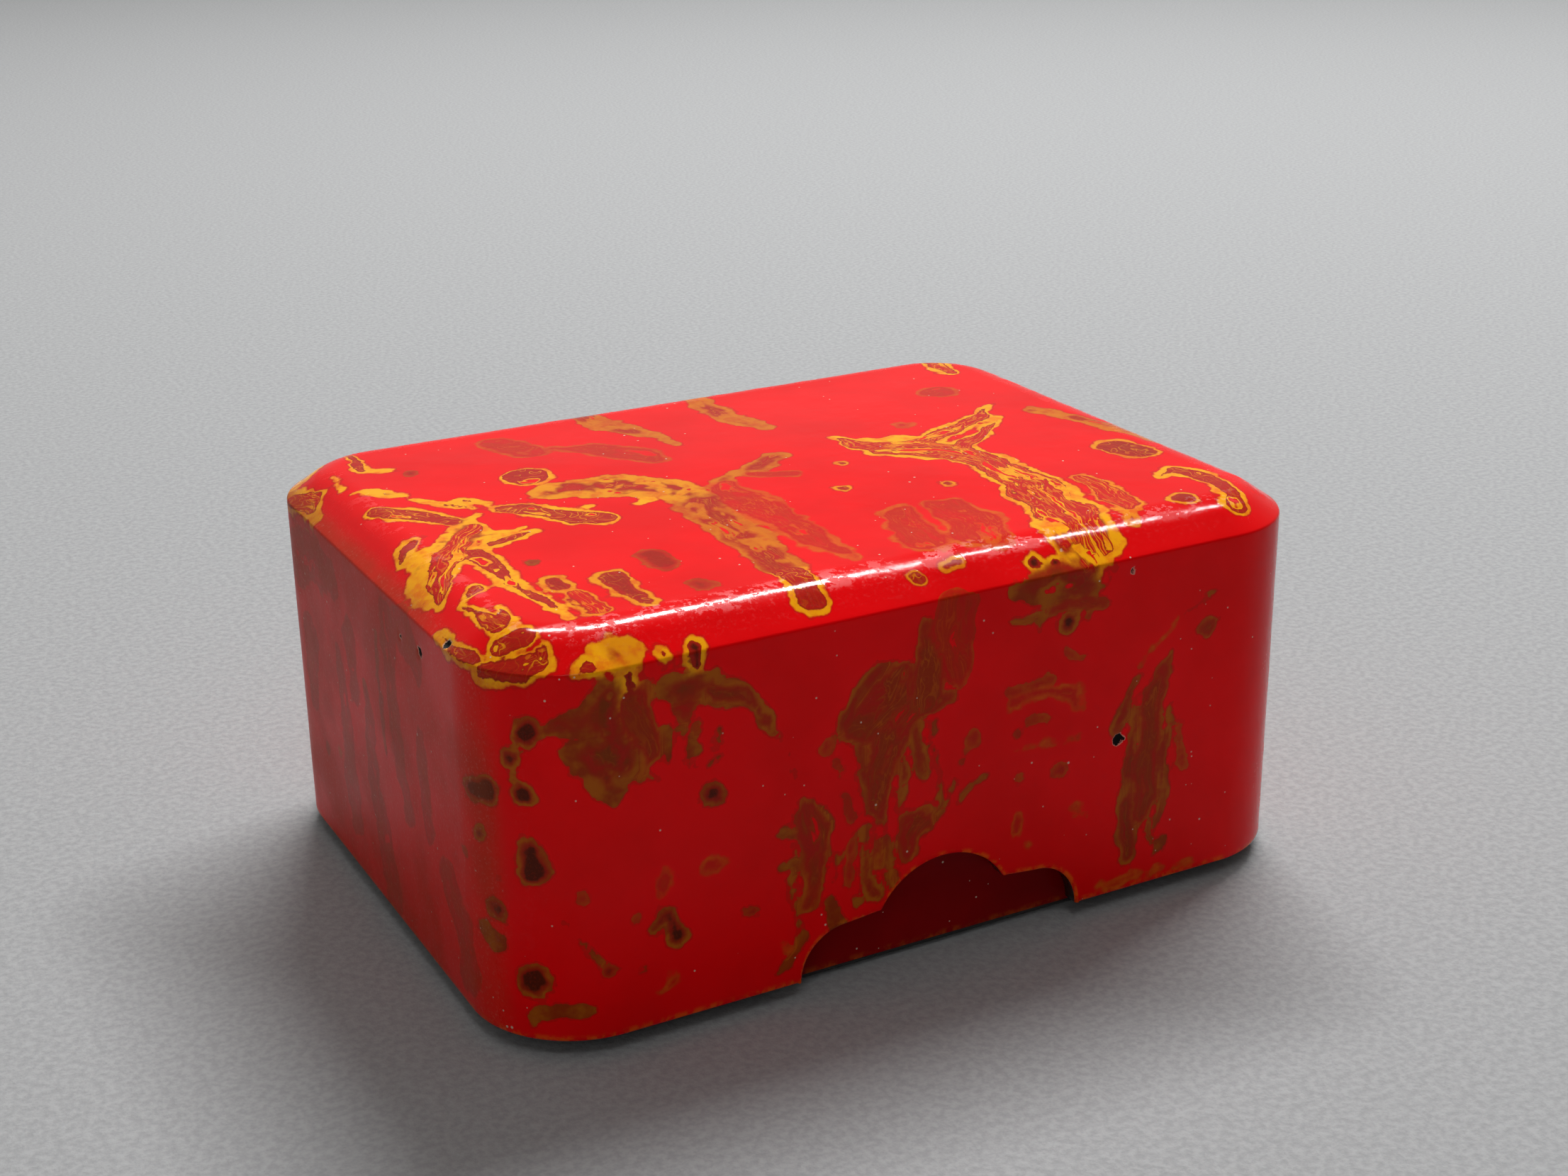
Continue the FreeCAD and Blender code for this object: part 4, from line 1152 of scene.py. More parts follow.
def paintPools(piece, pools):
    # write what the marbled material reads: depth in a pool, its style, and the way it flows
    mesh = piece.data
    places = readVectors(mesh.vertices, "co") / mm
    normals = readVectors(mesh.vertex_normals, "vector")
    count = len(places)
    warp = np.zeros((count, 3))
    for i, place in enumerate(places):
        for size, strength, offset in pooling["warps"]:
            warp[i] += noise.noise_vector(Vector(place) / size + Vector(offset)) * strength
    softness, ground, margin = pooling["softness"], pooling["ground"], pooling["margin"]
    weight = np.full(count, math.exp(ground / softness))
    looks = np.zeros((count, 6))
    best = np.full(count, ground)
    flow = np.zeros((count, 2))
    for number, (style, points) in enumerate(pools):
        rim, tone, core, ragged, streaky, show = poolStyles[style]
        path = [np.array(point) / mm for point, _ in points]
        radii = [radius / mm for _, radius in points]
        if len(path) == 1:
            path.append(path[0] + np.array((0.0, 0.0, 1e-3)))
            radii.append(radii[0])
        low = np.min(path, axis=0) - max(radii) - margin
        high = np.max(path, axis=0) + max(radii) + margin
        near = np.nonzero(np.all((places > low) & (places < high), axis=1))[0]
        if not len(near):
            continue
        depth, along, across = runDepth(path, radii, places[near] + ragged * warp[near],
                                        normals[near])
        pull = np.exp(np.clip(depth, ground, pooling["deepest"]) / softness)
        weight[near] += pull
        looks[near] += pull[:, None] * np.array((rim, tone, core, streaky, show, 1.0))
        deepest = depth > best[near]
        best[near[deepest]] = depth[deepest]
        along += pooling["flowApart"] * number
        flow[near[deepest]] = np.stack((along, across), axis=1)[deepest]
    looks /= np.maximum(looks[:, 5:6], 1e-12)
    for name, kind, field, values in (
            ("pool", "FLOAT", "value", softness * np.log(weight)),
            ("look", "FLOAT_VECTOR", "vector", looks[:, 0:3]),
            ("flow", "FLOAT_VECTOR", "vector", np.column_stack((flow, looks[:, 3]))),
            ("show", "FLOAT", "value", looks[:, 4])):
        layer = mesh.attributes.new(name, kind, "POINT")
        layer.data.foreach_set(field, np.ascontiguousarray(values, dtype=np.float32).ravel())


# The lid: a crowned top with a soft shoulder and a crisp ridge, and a cusped notch each long side

topLow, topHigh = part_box("lid_top_board")

lid = {
    **skinSize("lid_corner_posts", -1),
    "radius": 18.4 * mm,
    "wall": 3.6 * mm,
    "innerLevel": topLow[2],
    "longCount": 190,
    "shortCount": 140,
    "wallRows": 69,
    "innerRows": 4,
    "rimEase": 0.5 * mm,
    "easeSteps": 2,
    "cove": 1.2 * mm,
    "top": topHigh[2],
    "ridgeDrop": 4.7 * mm,          # crown's top down to the ridge
    "bandInset": 6.8 * mm,
    "shoulderRound": 10.0 * mm,
    "ridgeRound": 0.7 * mm,
    "shoulderIn": 7.4,              # mm in from the sides
    "capInset": 10.5 * mm,
    "profileSteps": (3, 9, 11, 5),  # flat, shoulder, band and ridge
    "domeRise": 0.5 * mm,
    "handWaver": 0.07 * mm,         # how far the rubbed surface strays from true
    "chipDepth": 0.5 * mm,
    # pools round the sides out of view: seed, from and to along the wall, height, count, styles
    "unseen": (7, 112, 372, 60, 46, ("strand", "ring", "smoke", "faint", "olive")),
}
notch = {
    "shoulderRadius": 8.5 * mm,
    "shoulderX": 18.2 * mm,
    "cuspX": 11.8 * mm,
    "cuspRise": 9.1 * mm,
    "peak": 16.0 * mm,
    "counts": (16, 8, 36),          # steps along a shoulder, a straight and the arch
}
# place and radius in mm
lidChips = (
    (34.3, -57.7, 32.0, 1.1),       # pit in the front
    (24.0, -54.4, 67.0, 0.45),
    (36.0, -57.7, 62.0, 0.6),
    (-76.0, -26.0, 59.5, 0.9),      # left end, near the ridge
    (-76.0, -17.0, 59.0, 0.5),
    (-75.2, -37.0, 64.6, 0.9),
)


def crownProfile(spec):
    # (inset, level) from the flat of the top, over the shoulder and down the band to the wall
    flatSteps, shoulderSteps, bandSteps, ridgeSteps = spec["profileSteps"]
    top, ridge = spec["top"], spec["top"] - spec["ridgeDrop"]
    slope = math.atan2(spec["ridgeDrop"], spec["bandInset"])
    shoulder, small = spec["shoulderRound"], spec["ridgeRound"]
    centre = (spec["bandInset"] + shoulder * math.tan(slope / 2), top - shoulder)
    points = [(inset, top) for inset in evenly(spec["capInset"], centre[0], flatSteps)[:-1]]
    points += arcPoints(centre, shoulder, math.pi / 2, math.pi / 2 + slope, shoulderSteps)
    back = small * math.tan((math.pi / 2 - slope) / 2)
    start = points[-1]
    end = (back * math.cos(slope), ridge + back * math.sin(slope))
    points += [(start[0] + (end[0] - start[0]) * share, start[1] + (end[1] - start[1]) * share)
               for share in evenly(0, 1, bandSteps)[1:-1]]
    points += arcPoints((small, ridge - back), small, math.pi / 2 + slope, math.pi, ridgeSteps)
    return points


def notchLine():
    # (x, rise, way into the wood) along the cut, from the left foot to the right foot
    quarter, flat, arch = notch["counts"]
    radius, shoulderX = notch["shoulderRadius"], notch["shoulderX"]
    cuspX, cuspRise = notch["cuspX"], notch["cuspRise"]
    sagitta = notch["peak"] - cuspRise
    archRadius = (cuspX ** 2 + sagitta ** 2) / (2 * sagitta)
    archTurn = math.asin(cuspX / archRadius)
    tilt = math.atan2(cuspRise - radius, shoulderX - cuspX)
    points = [(-shoulderX - radius * math.cos(turn), radius * math.sin(turn),
               -math.cos(turn), math.sin(turn)) for turn in evenly(0, math.pi / 2, quarter)[:-1]]
    points += [(-shoulderX + (shoulderX - cuspX) * share, radius + (cuspRise - radius) * share,
                -math.sin(tilt), math.cos(tilt)) for share in evenly(0, 1, flat)[:-1]]
    points += [(archRadius * math.sin(turn), notch["peak"] - archRadius * (1 - math.cos(turn)),
                math.sin(turn), math.cos(turn)) for turn in evenly(-archTurn, 0, arch // 2)]
    mirrored = [(-x, rise, -intoX, intoZ) for x, rise, intoX, intoZ in points[:-1]]
    return points + mirrored[::-1]


def waver(bm, amount, above):
    # hand-rubbed coats are never quite true: push the surface in and out by slow noise
    slow, quick, quickShare = 26, 9, 0.35    # mm, mm and how much the quicker one counts
    bm.normal_update()
    for vert in bm.verts:
        if vert.co.z > above:
            spot = vert.co / mm
            push = noise.noise(spot / slow) + quickShare * noise.noise(spot / quick)
            vert.co += vert.normal * amount * push


def dentChips(bm, chips, depth):
    reach, fade = 1.3, 0.9          # in radii of the chip
    for x, y, z, radius in chips:
        spot = Vector((x, y, z)) * mm
        for vert in bm.verts:
            apart = (vert.co - spot).length / (radius * mm)
            if apart < reach:
                vert.co -= vert.normal * depth * smoothStep(reach - apart, 0, fade)


def makeLid():
    lid["profile"] = crownProfile(lid)
    quarter, flat, arch = notch["counts"]
    cut = {"half": notch["shoulderX"] + notch["shoulderRadius"],
           "count": 2 * quarter + 2 * flat + arch, "line": notchLine()}
    lid["cuts"] = {"front": cut, "back": cut}
    bm = hollowSkin(lid)
    for vert in bm.verts:
        over = max(abs(vert.co.x) / (lid["length"] / 2 - lid["capInset"]),
                   abs(vert.co.y) / (lid["width"] / 2 - lid["capInset"]))
        if over < 1 and vert.co.z > lid["top"] - 0.1 * mm:
            vert.co.z += lid["domeRise"] * (1 - over ** 2) ** 2
    bmesh.ops.recalc_face_normals(bm, faces=bm.faces)
    waver(bm, lid["handWaver"], lid["rimLevel"] + 1.5 * mm)
    dentChips(bm, lidChips, lid["chipDepth"])
    piece = addPiece("lacqueredLid", bm, "lid",
                     ("lid_top_board", "lid_front_wall", "lid_back_wall", "lid_left_wall",
                      "lid_right_wall", "lid_corner_posts"),
                     "lid_lacquer",
                     makeMarbled("marbledLacquer", lacquer["ground"], lacquer["groundDeep"],
                                 lid, lid["shoulderIn"], lidChips),
                     blackLacquer)
    unseen = scatterPools(*lid["unseen"])
    paintPools(piece, placePools(lid, topPools, frontPools, leftPools + unseen))
    print("lid:", len(piece.data.polygons), "faces")


blackLacquer = makeBlackLacquer("blackLacquer")
makeLid()


# The box: red outside, its red painted darker as painted shade from the lid over it, black within
# and underneath

box = {
    **skinSize("box_corner_posts", 1),
    "radius": 14.1 * mm,
    "wall": 3.4 * mm,
    "innerLevel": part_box("box_floor_board")[1][2],   # top of its floor board
    "longCount": 120,
    "shortCount": 90,
    "wallRows": 48,
    "innerRows": 8,
    "rimEase": 0.6 * mm,
    "easeSteps": 3,
    "cove": 0.8 * mm,
    "capMaterial": 1,
    "rimMaterial": 1,
    # the profile, the foot and its eased edge up to 1.7 mm, takes the black: a black-lacquered
    # foot, and partly painted shade where that edge lies in shadow under the lid
    "profile": [(12.0 * mm, 0.0), (6.0 * mm, 0.0), (1.9 * mm, 0.0), (1.5 * mm, 0.1 * mm),
                (0.75 * mm, 0.75 * mm), (0.1 * mm, 1.4 * mm), (0.0, 1.7 * mm)],
    "profileWorn": 0.6,
    "handWaver": 0.05 * mm,
    # seed, from and to along the wall, height, count and styles of its pools
    "pools": (23, 0, 460, 56, 34, ("brown", "faint", "thin", "faint", "strand")),
}
ledge = {"ease": 0.35}
peg = {"pale": rgb(0.66, 0.50, 0.28), "deep": rgb(0.48, 0.32, 0.15)}
seatBoard = {"ease": 0.6, "easeSteps": 3}


def makeBox():
    bm = hollowSkin(box)
    waver(bm, box["handWaver"], 2.5 * mm)
    piece = addPiece("lacqueredBox", bm, "box",
                     ("box_floor_board", "box_front_wall", "box_back_wall", "box_left_wall",
                      "box_right_wall", "box_corner_posts"),
                     "box_lacquer",
                     # the box's red ground is painted darker: painted shade from the lid over it
                     makeMarbled("shadedBoxLacquer", lacquer["boxShadedGround"], lacquer["boxShadedDeep"], box),
                     blackLacquer)
    paintPools(piece, placePools(box, around=scatterPools(*box["pools"])))
    for side in ("left", "right"):
        node = "tray_ledge_" + side
        addPiece(side + "TrayLedge", easedCopy(node, ledge["ease"]), "box", (node,),
                 "black_lacquer", blackLacquer)
    print("box:", len(piece.data.polygons), "faces")


makeBox()
for name in ("lid_pegs", "box_floor_pegs"):
    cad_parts[name].data.materials.clear()
    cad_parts[name].data.materials.append(
        makeBamboo(name.split("_")[0] + "PegBamboo", peg["pale"], peg["deep"]))
addPiece("seatBoard", easedCopy("seat_board", seatBoard["ease"], seatBoard["easeSteps"]), "seat",
         ("seat_board",), "seat_lacquer", blackLacquer)


# The lift-out tray, with finger scoops in its ends

trayFloorLow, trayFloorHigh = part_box("tray_floor_board")

tray = {
    **skinSize("tray_corner_posts", 1),
    "radius": 10.2 * mm,
    "wall": 2.4 * mm,
    "innerLevel": trayFloorHigh[2],
    "longCount": 110,
    "shortCount": 90,
    "wallRows": 22,
    "innerRows": 8,
    "rimEase": 0.6 * mm,
    "easeSteps": 3,
    "cove": 0.6 * mm,
    "bottom": trayFloorLow[2],
    "bottomEase": 0.6 * mm,
    "bottomSteps": 3,
    "bottomInset": 8.0 * mm,
    "wallFrom": 1.4 * mm,           # above the bottom
    "scoopRadius": 9.0 * mm,
    "scoopSteps": 32,
    "partEase": 0.35,
}


def scoopLine(radius, steps):
    # (along, drop, way into the wood) round a half-circle bitten from the rim
    return [(-radius * math.cos(turn), radius * math.sin(turn), -math.cos(turn), math.sin(turn))
            for turn in evenly(0, math.pi, steps)]


def makeTray():
    ease, bottom = tray["bottomEase"], tray["bottom"]
    tray["profile"] = [(tray["bottomInset"], bottom), (ease * 1.6, bottom)]
    tray["profile"] += arcPoints((ease, bottom + ease), ease, math.pi * 1.5, math.pi,
                                 tray["bottomSteps"])
    tray["profile"].append((0.0, bottom + tray["wallFrom"]))
    cut = {"half": tray["scoopRadius"], "count": tray["scoopSteps"],
           "line": scoopLine(tray["scoopRadius"], tray["scoopSteps"])}
    tray["cuts"] = {"left": cut, "right": cut}
    piece = addPiece("lacqueredTray", hollowSkin(tray, 0), "tray",
                     ("tray_floor_board", "tray_front_wall", "tray_back_wall", "tray_left_wall",
                      "tray_right_wall", "tray_corner_posts"),
                     "black_lacquer", blackLacquer)
    for name, node in (("brushPartition", "brush_partition"),
                       ("inkPartition", "ink_partition"),
                       ("leftBrushRest", "brush_rest_left"),
                       ("rightBrushRest", "brush_rest_right")):
        addPiece(name, easedCopy(node, tray["partEase"]), "tray", (node,), "black_lacquer",
                 blackLacquer)
    print("tray:", len(piece.data.polygons), "faces")


makeTray()


# The inkstone: a raised rim round a dished flat that slopes down into the ink well

stone = {
    **skinSize("inkstone", -1),
    "radius": 5.0 * mm,
    "longCount": 132,
    "shortCount": 92,
    "wallRows": 14,
    "rimEase": 0.7 * mm,
    "easeSteps": 3,
    "footInset": 9.0 * mm,
    "edge": 1.2 * mm,
    "edgeFlat": 1.35,               # where the cap ends, in edges in from the side
    "edgeSteps": 5,
    "waver": 0.05 * mm,
    "border": 4.5,                  # mm from here on, as the hollow is worked out in mm
    "hollowRadius": 5.0,
    "wallRun": 1.5,                 # how far the hollow's wall leans, and more of it with depth
    "wallLean": 0.12,
    "wallStart": -0.25,
    "landDepth": 2.2,
    "seaDepth": 8.0,
    "seaLength": 17.0,
    "beachLength": 11.0,
    "beachEase": 1.5,
    "dish": 0.35,
    "dishFrom": (2, 14),
    "wornTo": 0.15,                 # the rim is worn down to this depth
}


def hollowDepth(spec, x, y):
    # depth in mm under the rim at a place in mm from the middle of the stone
    halfX = spec["length"] / mm / 2 - spec["border"]
    halfY = spec["width"] / mm / 2 - spec["border"]
    radius = spec["hollowRadius"]
    overX = max(0, abs(x) - halfX + radius)
    overY = max(0, abs(y) - halfY + radius)
    into = min(halfX - abs(x), halfY - abs(y), radius - math.hypot(overX, overY))
    seaEnd, ease = -halfX + spec["seaLength"], spec["beachEase"]
    slope = smoothStep(x, seaEnd - ease, seaEnd + spec["beachLength"] + ease)
    bed = spec["seaDepth"] + (spec["landDepth"] - spec["seaDepth"]) * slope
    bed += spec["dish"] * slope * smoothStep(into, *spec["dishFrom"])
    run = spec["wallRun"] * (1 + spec["wallLean"] * bed)
    return bed * smoothStep(into, spec["wallStart"], run)


def makeStone():
    stone["profile"] = easedTop(stone)
    bm = solidSkin(stone)
    depthLayer = bm.verts.layers.float.new("depth")
    worn = bm.verts.layers.float["worn"]
    for vert in bm.verts:
        if vert.co.z > stone["high"] - 0.01 * mm:
            depth = hollowDepth(stone, vert.co.x / mm, vert.co.y / mm)
            vert[depthLayer] = depth
            vert.co.z -= depth * mm
            vert[worn] = 1.0 if depth < stone["wornTo"] else 0.0
        vert.co.z += stone["waver"] * noise.noise(vert.co / mm / 5)
        vert.co.x += stone["centreX"]
    addPiece("slateInkstone", bm, "stone", ("inkstone",), "slate", makeSlate("honedSlate"))


# The water dropper: a soldered bronze box with a beaded foot and shoulder

dropper = {
    **skinSize("dropper_body", 1),
    "radius": 4.0 * mm,
    "wall": 1.0 * mm,
    "innerLevel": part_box("dropper_body")[0][2] + 1.0 * mm,
    "longCount": 40,
    "shortCount": 60,
    "wallRows": 4,
    "innerRows": 3,
    "rimEase": 0.15 * mm,
    "easeSteps": 2,
    "cove": 0.4 * mm,
    "topEase": 0.3,
    "topEaseSteps": 3,
    # (in from the side, up from the foot) in mm, from underneath round the beaded foot
    "foot": ((3.0, 0.0), (1.4, 0.0), (0.55, 0.12), (0.12, 0.5), (0.0, 0.9), (0.0, 2.0)),
    "sideFrom": 2.0 * mm,           # up from the foot and down from the rim
    "sideTo": 1.6 * mm,
    "rimBand": 1.0 * mm,
    "sideSteps": 16,
    "bandDepth": 0.22 * mm,
    "bandAt": (0.08, 0.92),         # of the side's height
    "bandWidth": 0.035,
    "spoutSteps": 32,
    # (up from the spout's foot, radius) in mm, then (up from its lip, radius)
    "spoutFoot": ((0.0, 0.8), (0.0, 1.6), (1.1, 1.6), (1.35, 1.75), (1.7, 1.6), (1.9, 1.35)),
    "spoutLip": ((-0.9, 1.25), (-0.45, 1.5), (-0.15, 1.6), (0.0, 1.45), (0.0, 1.15),
                 (-0.25, 0.85), (-0.8, 0.8)),
}


def makeDropper():
    bronze = makeBronze("brownBronze")
    low, high = dropper["low"], dropper["high"]
    deep, width = dropper["bandDepth"], dropper["bandWidth"]
    start, end = low + dropper["sideFrom"], high - dropper["sideTo"]
    dropper["profile"] = [(inset * mm, low + level * mm) for inset, level in dropper["foot"]]
    for share in evenly(0, 1, dropper["sideSteps"]):
        # two cut lines low and high, and a faintly hollow side between them
        cutLine = max(math.exp(-((share - at) / width) ** 2) for at in dropper["bandAt"])
        hollow = 0.5 * deep * math.sin(math.pi * share)
        dropper["profile"].append((deep * cutLine + hollow, start + (end - start) * share))
    dropper["profile"].append((0.0, high - dropper["rimBand"]))
    bm = hollowSkin(dropper, 0)
    bmesh.ops.translate(bm, verts=bm.verts, vec=(dropper["centreX"], 0, 0))
    addPiece("dropperBody", bm, "dropper", ("dropper_body",), "bronze", bronze)
    addPiece("dropperTop", easedCopy("dropper_top", dropper["topEase"], dropper["topEaseSteps"]),
             "dropper", ("dropper_top",), "bronze", bronze)
    # the spout stands on the body's wall level, flares at its lip and is bored through
    spout = skinSize("dropper_spout", 1)
    tall = (spout["high"] - spout["low"]) / mm
    outline = list(dropper["spoutFoot"])
    outline += [(tall + up, radius) for up, radius in dropper["spoutLip"]]
    middle = (spout["centreX"], spout["centreY"], spout["low"])
    addPiece("dropperSpout", turned(outline + outline[:1], middle, dropper["spoutSteps"], "Z"),
             "dropper", ("dropper_spout",), "bronze", bronze)


# The ink stick: moulded with a sunk panel and a raised wave pattern, one end worn slanting

inkStick = {
    **skinSize("ink_stick", -1),
    "radius": 0.8 * mm,
    "longCount": 232,
    "shortCount": 56,
    "wallRows": 10,
    "rimEase": 0.8 * mm,
    "easeSteps": 3,
    "footInset": 2.5 * mm,
    "edge": 0.8 * mm,
    "edgeFlat": 1.3,
    "edgeSteps": 4,
    "waver": 0.04 * mm,
    "panelHalf": (24.6, 4.05),      # mm from here on
    "panelCorner": 1,
    "panelDepth": 0.42,
    "frameIn": 0.75,                # the gilt line, in from the panel's edge
    "frameWidth": 0.16,
    "waveRise": 0.3,
    "waveShare": 0.8,               # of that rise, for the waves inside the frame
    "waveSpan": 4.1,                # across one scale of the wave pattern
    "waveRings": 3,
    "wornRun": 3.0,
    "wornFoot": 0.3,
    "wornEdge": (0.35, 0.08),       # width and height of the burr round the worn end
}


def waveRelief(x, y, span, rings):
    # overlapping rings, as in the old blue-sea-wave pattern, as a height from 0 to 1
    row = math.floor(y / (span / 4)) - 1
    for layer in range(row, row + 4):
        shift = span / 2 if layer % 2 else 0.0
        centreX = round((x - shift) / span) * span + shift
        apart = math.hypot(x - centreX, y - layer * span / 4) / (span / 2)
        if apart < 1:
            return 0.5 + 0.5 * math.cos(apart * rings * 2 * math.pi)
    return 0.0


def makeInkStick():
    inkStick["profile"] = easedTop(inkStick)
    bm = solidSkin(inkStick)
    giltLayer = bm.verts.layers.float.new("gilt")
    halfX, halfY = inkStick["panelHalf"]
    corner = inkStick["panelCorner"]
    for vert in bm.verts:
        x, y = vert.co.x / mm, vert.co.y / mm
        if vert.co.z > inkStick["high"] - 0.01 * mm:
            over = math.hypot(max(0, abs(x) - halfX + corner), max(0, abs(y) - halfY + corner))
            into = min(halfX - abs(x), halfY - abs(y), corner - over)
            sunk = smoothStep(into, -0.12, 0.2)
            framed = 0.0
            if into > 0:
                framed = math.exp(-((into - inkStick["frameIn"]) / inkStick["frameWidth"]) ** 2)
            waves = waveRelief(x, y, inkStick["waveSpan"], inkStick["waveRings"])
            waves *= smoothStep(into, 1.1, 1.4) * inkStick["waveShare"]
            vert.co.z -= (inkStick["panelDepth"] * sunk
                          - inkStick["waveRise"] * max(framed, waves)) * mm
            vert[giltLayer] = framed
        vert.co.z += inkStick["waver"] * noise.noise(Vector((x, y, 3)) / 4)
    low, high = inkStick["low"], inkStick["high"]
    slant = Vector((high - low, 0, inkStick["wornRun"] * mm)).normalized()
    cut = bmesh.ops.bisect_plane(
        bm, geom=bm.verts[:] + bm.edges[:] + bm.faces[:], dist=meshing["sameSpun"],
        plane_co=(inkStick["length"] / 2, 0, low + inkStick["wornFoot"] * mm), plane_no=slant,
        clear_outer=True, clear_inner=False)
    rim = [item for item in cut["geom_cut"] if isinstance(item, bmesh.types.BMEdge)]
    capped = bmesh.ops.edgeloop_fill(bm, edges=rim)["faces"]
    width, height = inkStick["wornEdge"]
    bmesh.ops.inset_region(bm, faces=capped, thickness=width * mm, depth=height * mm)
    bmesh.ops.translate(bm, verts=bm.verts, vec=(0, inkStick["centreY"], 0))
    addPiece("inkStick", bm, "ink", ("ink_stick",), "ink", makeInk("pressedInk"))


# Two brushes: bamboo handle, horn collar, pointed hair, and a bamboo cap over the hair

brush = {
    "bamboo": (rgb(0.66, 0.44, 0.20), rgb(0.42, 0.24, 0.090)),
    "capBamboo": (rgb(0.60, 0.42, 0.21), rgb(0.40, 0.25, 0.11)),
    "turnSteps": 56,
    "handleRadius": 3.2,
    "nodeAt": 34.0,                 # from the handle's tail to the ring of its cane
    "plainSteps": (8, 12),          # along the handle before the ring and after it
    "caneLobe": 0.018,              # how far the cane is from round, as a share of its radius
    "collarRadius": 3.4,
    "tipRadius": 2.9,
    "tipSteps": (30, 96),           # along the hair and round it
    "bellyEnd": 0.2,                # share of the hair that stays full before it draws in
    "hairGroove": 0.16,
    "inkedFrom": (0.35, 1.15),      # shares of the hair over which its stain grows
    "capWall": 0.5,
    "capFloor": 2.0,
    "capSteps": 6,
    "capRing": 2.4,                 # in from the cap's far end
    # outlines as (along from an end or from the ring, more than the radius) in mm
    "tail": ((0.0, -1.88), (0.12, -1.28), (0.5, -0.8), (1.3, -0.35), (2.2, -0.12), (3.2, 0.0)),
    "ring": ((-6.0, 0.0), (-2.4, 0.02), (-1.2, 0.10), (-0.55, 0.26), (-0.15, 0.30), (0.05, 0.16),
             (0.25, 0.05), (0.45, 0.17), (0.8, 0.24), (1.3, 0.12), (2.6, 0.03), (6.0, 0.0)),
    "mouth": ((-0.4, 0.0), (0.0, -0.15)),
    "collarStart": ((0.0, -0.2), (0.2, 0.0), (1.0, 0.0), (1.15, -0.12), (1.35, -0.12),
                    (1.5, 0.0)),
    "collarEnd": ((-2.6, -0.02), (-1.6, -0.16), (-0.7, -0.32), (0.0, -0.5)),
    "capStart": ((0.0, -0.15), (0.15, 0.0), (2.4, 0.0), (2.6, -0.12), (2.9, -0.12), (3.1, 0.0)),
    "capEnd": ((-4.0, 0.0), (-3.2, -0.03), (-2.4, -0.16), (-2.0, -0.05), (-1.2, 0.0),
               (-0.4, -0.08), (-0.08, -0.35), (0.0, -0.7)),
}


def endsOf(node):
    # where a node starts and ends along x, in mm
    low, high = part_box(node)
    return low[0] / mm, high[0] / mm


def outlined(start, end, radius, atStart, atEnd, plain=0):
    # an outline from the tables of its two ends, with some plain steps between them
    first = [(start + along, radius + more) for along, more in atStart]
    last = [(end + along, radius + more) for along, more in atEnd]
    between = evenly(first[-1][0], last[0][0], plain)[1:-1] if plain else []
    return first + [(x, radius) for x in between] + last


def handleOutline(start, end):
    radius, at = brush["handleRadius"], start + brush["nodeAt"]
    before, after = brush["plainSteps"]
    past = at + brush["ring"][-1][0]
    return (outlined(start, at, radius, brush["tail"], brush["ring"], before)
            + outlined(past, end, radius, ((0.0, 0.0),), brush["mouth"], after)[1:])


def capOutline(start, end, outer):
    # from the floor of its bore out over the open end and along the outside
    inner, floor = outer - brush["capWall"], end - brush["capFloor"]
    bore = [(floor, inner - 0.3), (floor - 0.3, inner), (start + 0.15, inner),
            (start, inner + 0.12)]
    outside = outlined(start, end, outer, brush["capStart"], brush["capEnd"], brush["capSteps"])
    return bore + outside + [(end - 0.15, outer * 0.5), (end - 0.25, 0.0)]


def hairOutline(start, end):
    # the hair swells a little out of the collar, then draws to a point
    points, full = [], brush["bellyEnd"]
    for share in evenly(0, 1, brush["tipSteps"][0]):
        belly = brush["tipRadius"] * (1 - 0.96 * max(0.0, (share - full) / (1 - full)) ** 1.5)
        swell = 0.97 + 0.03 * math.sin(math.pi * min(1, share * 2.4))
        points.append((start + (end - start) * share, belly * swell))
    return points


def spun(outline, axis, steps):
    # an outline turned round its axis and closed on it at both ends
    outline = [(outline[0][0], 0.0)] + outline
    if outline[-1][1] > 0:
        outline.append((outline[-1][0], 0.0))
    return turned(outline, axis, steps)


def bendCane(bm, axis):
    # a cane is not quite round or straight
    for vert in bm.verts:
        out = Vector((0, vert.co.y - axis[1], vert.co.z - axis[2]))
        lobe = noise.noise(Vector((vert.co.x / mm / 30, math.atan2(out.z, out.y) * 0.8, 4)))
        vert.co += out * brush["caneLobe"] * lobe


def combHair(bm, axis, start, end):
    # locks and single hairs, shallower at both ends
    for vert in bm.verts:
        out = Vector((0, vert.co.y - axis[1], vert.co.z - axis[2]))
        if out.length < meshing["sameSpun"]:
            continue
        way = out.normalized()
        along = (vert.co.x / mm - start) / (end - start)
        locks = noise.noise(Vector((along * 1.2, way.y * 3.2, way.z * 3.2)))
        fine = noise.noise(Vector((along * 2.0, way.y * 11, way.z * 11)))
        deep = min(1.0, along * 8) * min(1.0, (1 - along) * 4)
        vert.co -= way * brush["hairGroove"] * mm * deep * (0.5 + 0.9 * locks + 0.7 * fine)


